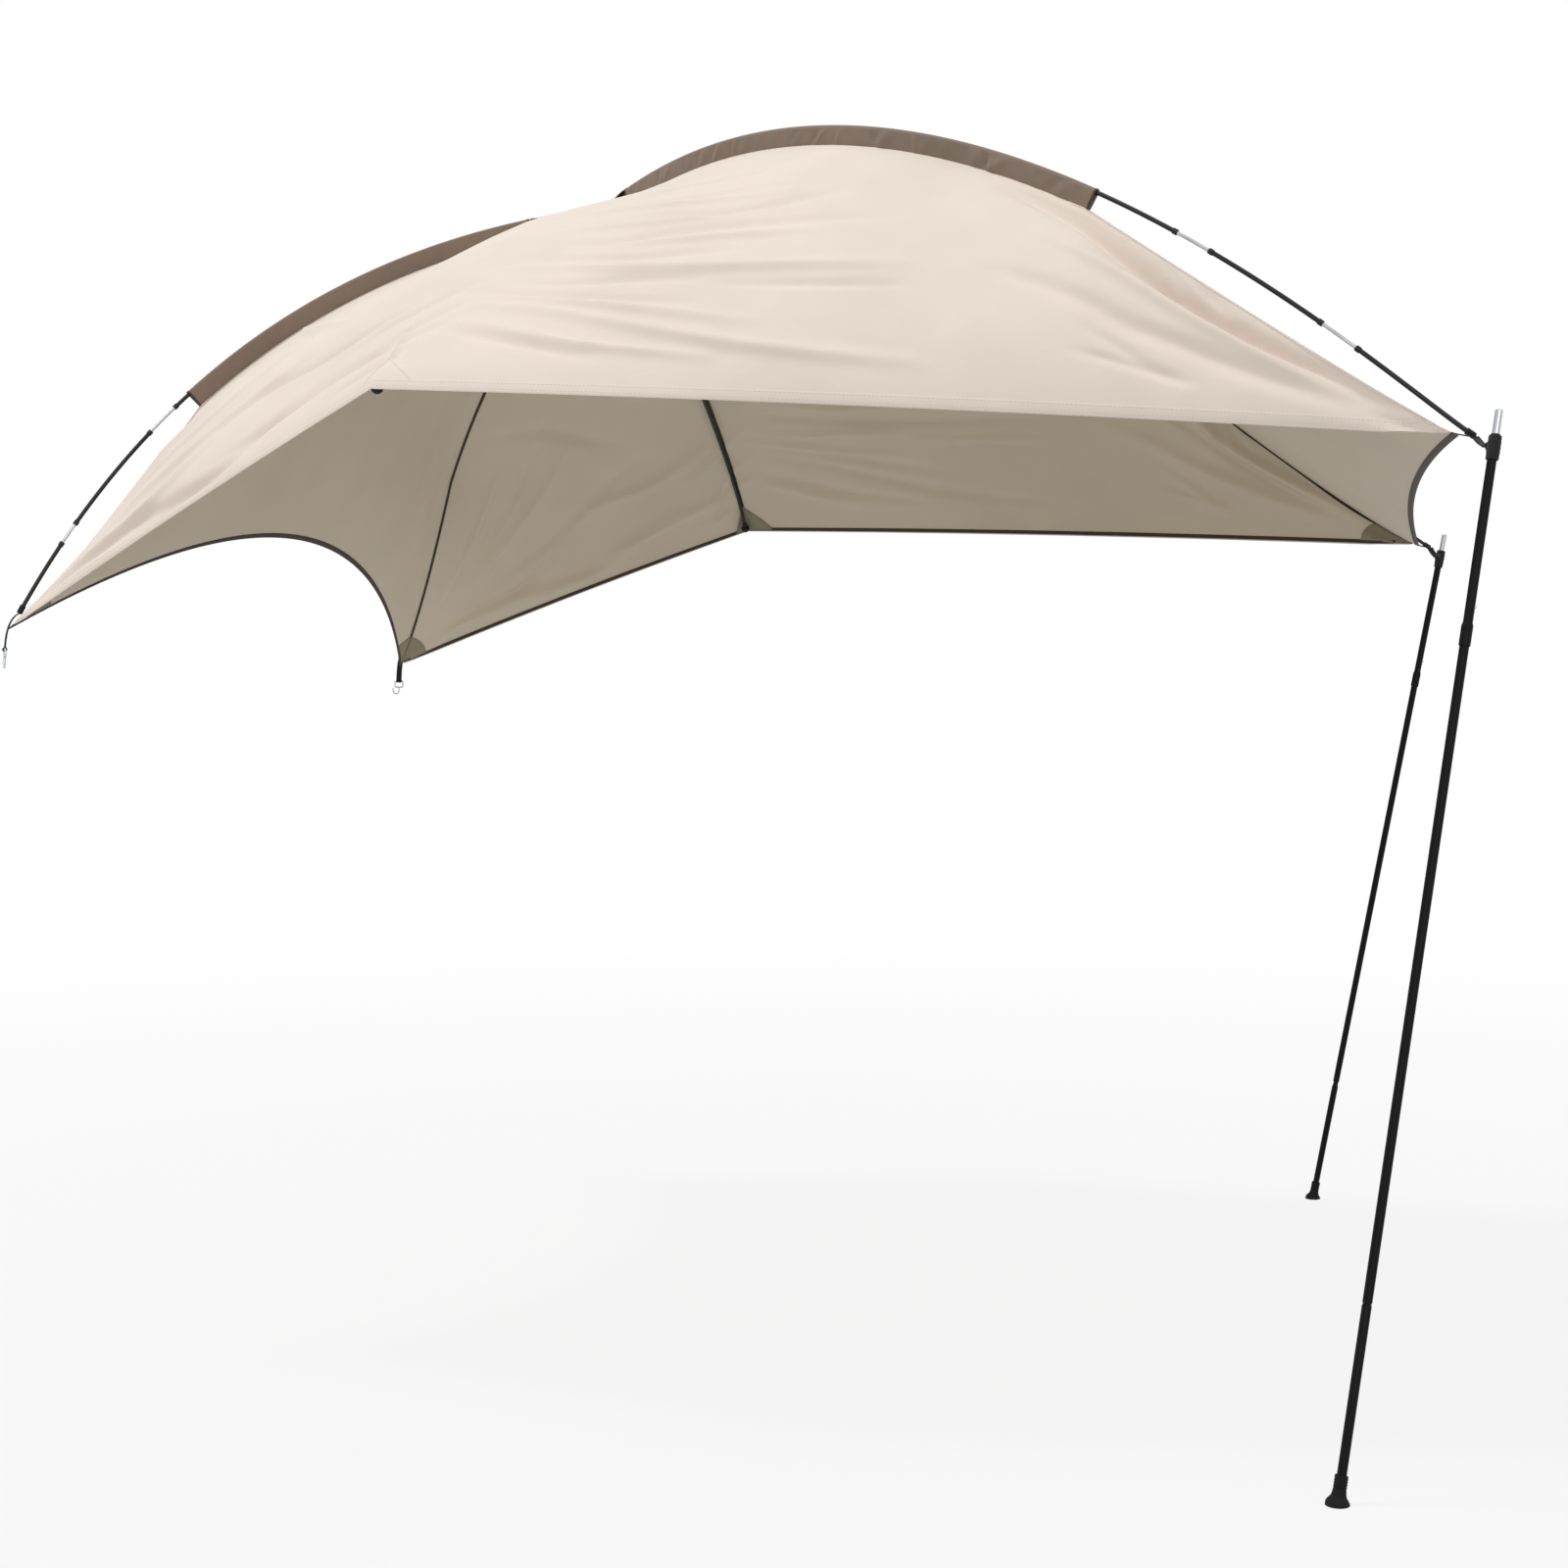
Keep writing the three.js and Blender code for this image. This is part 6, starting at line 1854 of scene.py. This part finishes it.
class TENT_OT_studio(bpy.types.Operator):
    """Sets the floor, the soft light and the camera"""

    bl_idname = "tent.studio"
    bl_label = "Studio"

    def execute(self, context):
        scene = context.scene
        scene.view_settings.view_transform = "Standard"
        floor = added("floor", bpy.ops.mesh.primitive_plane_add, size=60, location=(0, 0, -0.0005))
        dressed(floor, self.floor_finish())
        self.sky(scene)
        self.lamp("key_light", (-0.42, -0.06, 1.0), 1.62, 10)
        self.lamp("fill_light", (0.3, -1.0, 0.15), 0.92, 50)
        self.camera(scene)
        return {"FINISHED"}

    def floor_finish(self):
        """Matt white paint with a faint grain, lost in the white backdrop away from the tent."""
        material, tree, surface = blank_finish("matt_white_floor", Roughness=0.95)
        room = in_room(tree)
        grain = noise(tree, room, 40.0, 2.0)
        coloured(tree, surface, grain, shade(linear("#BCBCBB"), 1), shade(linear("#C2C2C1"), 1))
        # the floor keeps the shadow near the tent
        distance = add_node(tree, "VectorMath", {0: room}, operation="LENGTH").outputs["Value"]
        span = {"From Min": 2.5, "From Max": 9.0, "To Min": 0.86, "To Max": 1.0}
        fade = add_node(tree, "MapRange", {"Value": distance, **span}).outputs["Result"]
        share = add_node(tree, "Math", {0: self.seen(tree), 1: fade}, operation="MULTIPLY").outputs["Value"]
        white = add_node(tree, "Emission", {"Color": (1, 1, 1, 1), "Strength": 1.0}).outputs["Emission"]
        self.blend(tree, share, surface.outputs["BSDF"], white, "OUTPUT_MATERIAL")
        return material

    def seen(self, tree):
        """1 for a ray from the camera, a reflection or glass."""
        rays = add_node(tree, "LightPath").outputs
        seen = rays["Is Camera Ray"]
        for kind in ("Is Glossy Ray", "Is Transmission Ray"):
            seen = add_node(tree, "Math", {0: seen, 1: rays[kind]}, operation="MAXIMUM").outputs["Value"]
        return seen

    def blend(self, tree, share, first, second, output):
        mix = add_node(tree, "MixShader", {0: share, 1: first, 2: second})
        end = next(node for node in tree.nodes if node.type == output)
        tree.links.new(mix.outputs["Shader"], end.inputs["Surface"])

    def sky(self, scene):
        """Soft light from all round, in front of a white backdrop."""
        scene.world = bpy.data.worlds.new("studio")
        scene.world.use_nodes = True
        tree = scene.world.node_tree
        light = next(node for node in tree.nodes if node.type == "BACKGROUND")
        light.inputs["Color"].default_value = (1, 1, 1, 1)
        light.inputs["Strength"].default_value = 0.55
        backdrop = add_node(tree, "Background", {"Color": (1, 1, 1, 1), "Strength": 1.0})
        self.blend(tree, self.seen(tree), light.outputs[0], backdrop.outputs[0], "OUTPUT_WORLD")

    def lamp(self, name, direction, strength, softness):
        lamp = added(name, bpy.ops.object.light_add, type="SUN", location=[4 * axis for axis in direction])
        lamp.rotation_euler = Vector(direction).to_track_quat("Z", "Y").to_euler()
        lamp.data.energy = strength
        lamp.data.angle = math.radians(softness)

    def camera(self, scene):
        eye = Vector(place(2.6544, -4.7712, 1.2084))
        yaw, pitch, roll = 0.2577, -0.0118, -0.0032
        ahead = Vector((-math.sin(yaw) * math.cos(pitch), math.cos(yaw) * math.cos(pitch), math.sin(pitch)))
        level = Vector((math.cos(yaw), math.sin(yaw), 0))
        upright = level.cross(ahead)
        right = level * math.cos(roll) + upright * math.sin(roll)
        above = upright * math.cos(roll) - level * math.sin(roll)
        camera = added("Camera", bpy.ops.object.camera_add, location=eye)
        camera.matrix_world = Matrix((right, above, -ahead)).transposed().to_4x4()
        camera.location = eye
        # both in millimetres
        camera.data.sensor_width = 36
        camera.data.lens = 48.843
        camera.data.clip_end = 200
        scene.camera = camera


class TENT_PT_panel(bpy.types.Panel):
    """Lists the pieces of the tent"""

    bl_label = "Tailgate tent"
    bl_idname = "TENT_PT_panel"
    bl_space_type = "VIEW_3D"
    bl_region_type = "UI"
    bl_category = "Tent"

    def draw(self, context):
        for group in (context.scene.tent_sizes, context.scene.tent_colours):
            for key in group.__annotations__:
                self.layout.prop(group, key)
        for step in STEPS:
            self.layout.operator(step.bl_idname)


STEPS = (
    TENT_OT_side_cloth,
    TENT_OT_roof_cloth,
    TENT_OT_hems,
    TENT_OT_edge_tapes,
    TENT_OT_seams,
    TENT_OT_facings,
    TENT_OT_arches,
    TENT_OT_sleeves,
    TENT_OT_apex_cover,
    TENT_OT_hoop,
    TENT_OT_uprights,
    TENT_OT_feet,
    TENT_OT_pole_loops,
    TENT_OT_front_straps,
    TENT_OT_rear_straps,
    TENT_OT_hooks,
    TENT_OT_inner_cords,
    TENT_OT_studio,
)
CLASSES = (TentSizes, TentColours, *STEPS, TENT_PT_panel)


def register():
    for cls in CLASSES:
        bpy.utils.register_class(cls)
    bpy.types.Scene.tent_sizes = bpy.props.PointerProperty(type=TentSizes)
    bpy.types.Scene.tent_colours = bpy.props.PointerProperty(type=TentColours)


def unregister():
    del bpy.types.Scene.tent_colours
    del bpy.types.Scene.tent_sizes
    for cls in reversed(CLASSES):
        bpy.utils.unregister_class(cls)


def main():
    register()
    for step in STEPS:
        group, name = step.bl_idname.split(".")
        getattr(getattr(bpy.ops, group), name)()


if __name__ == "__main__":
    main()
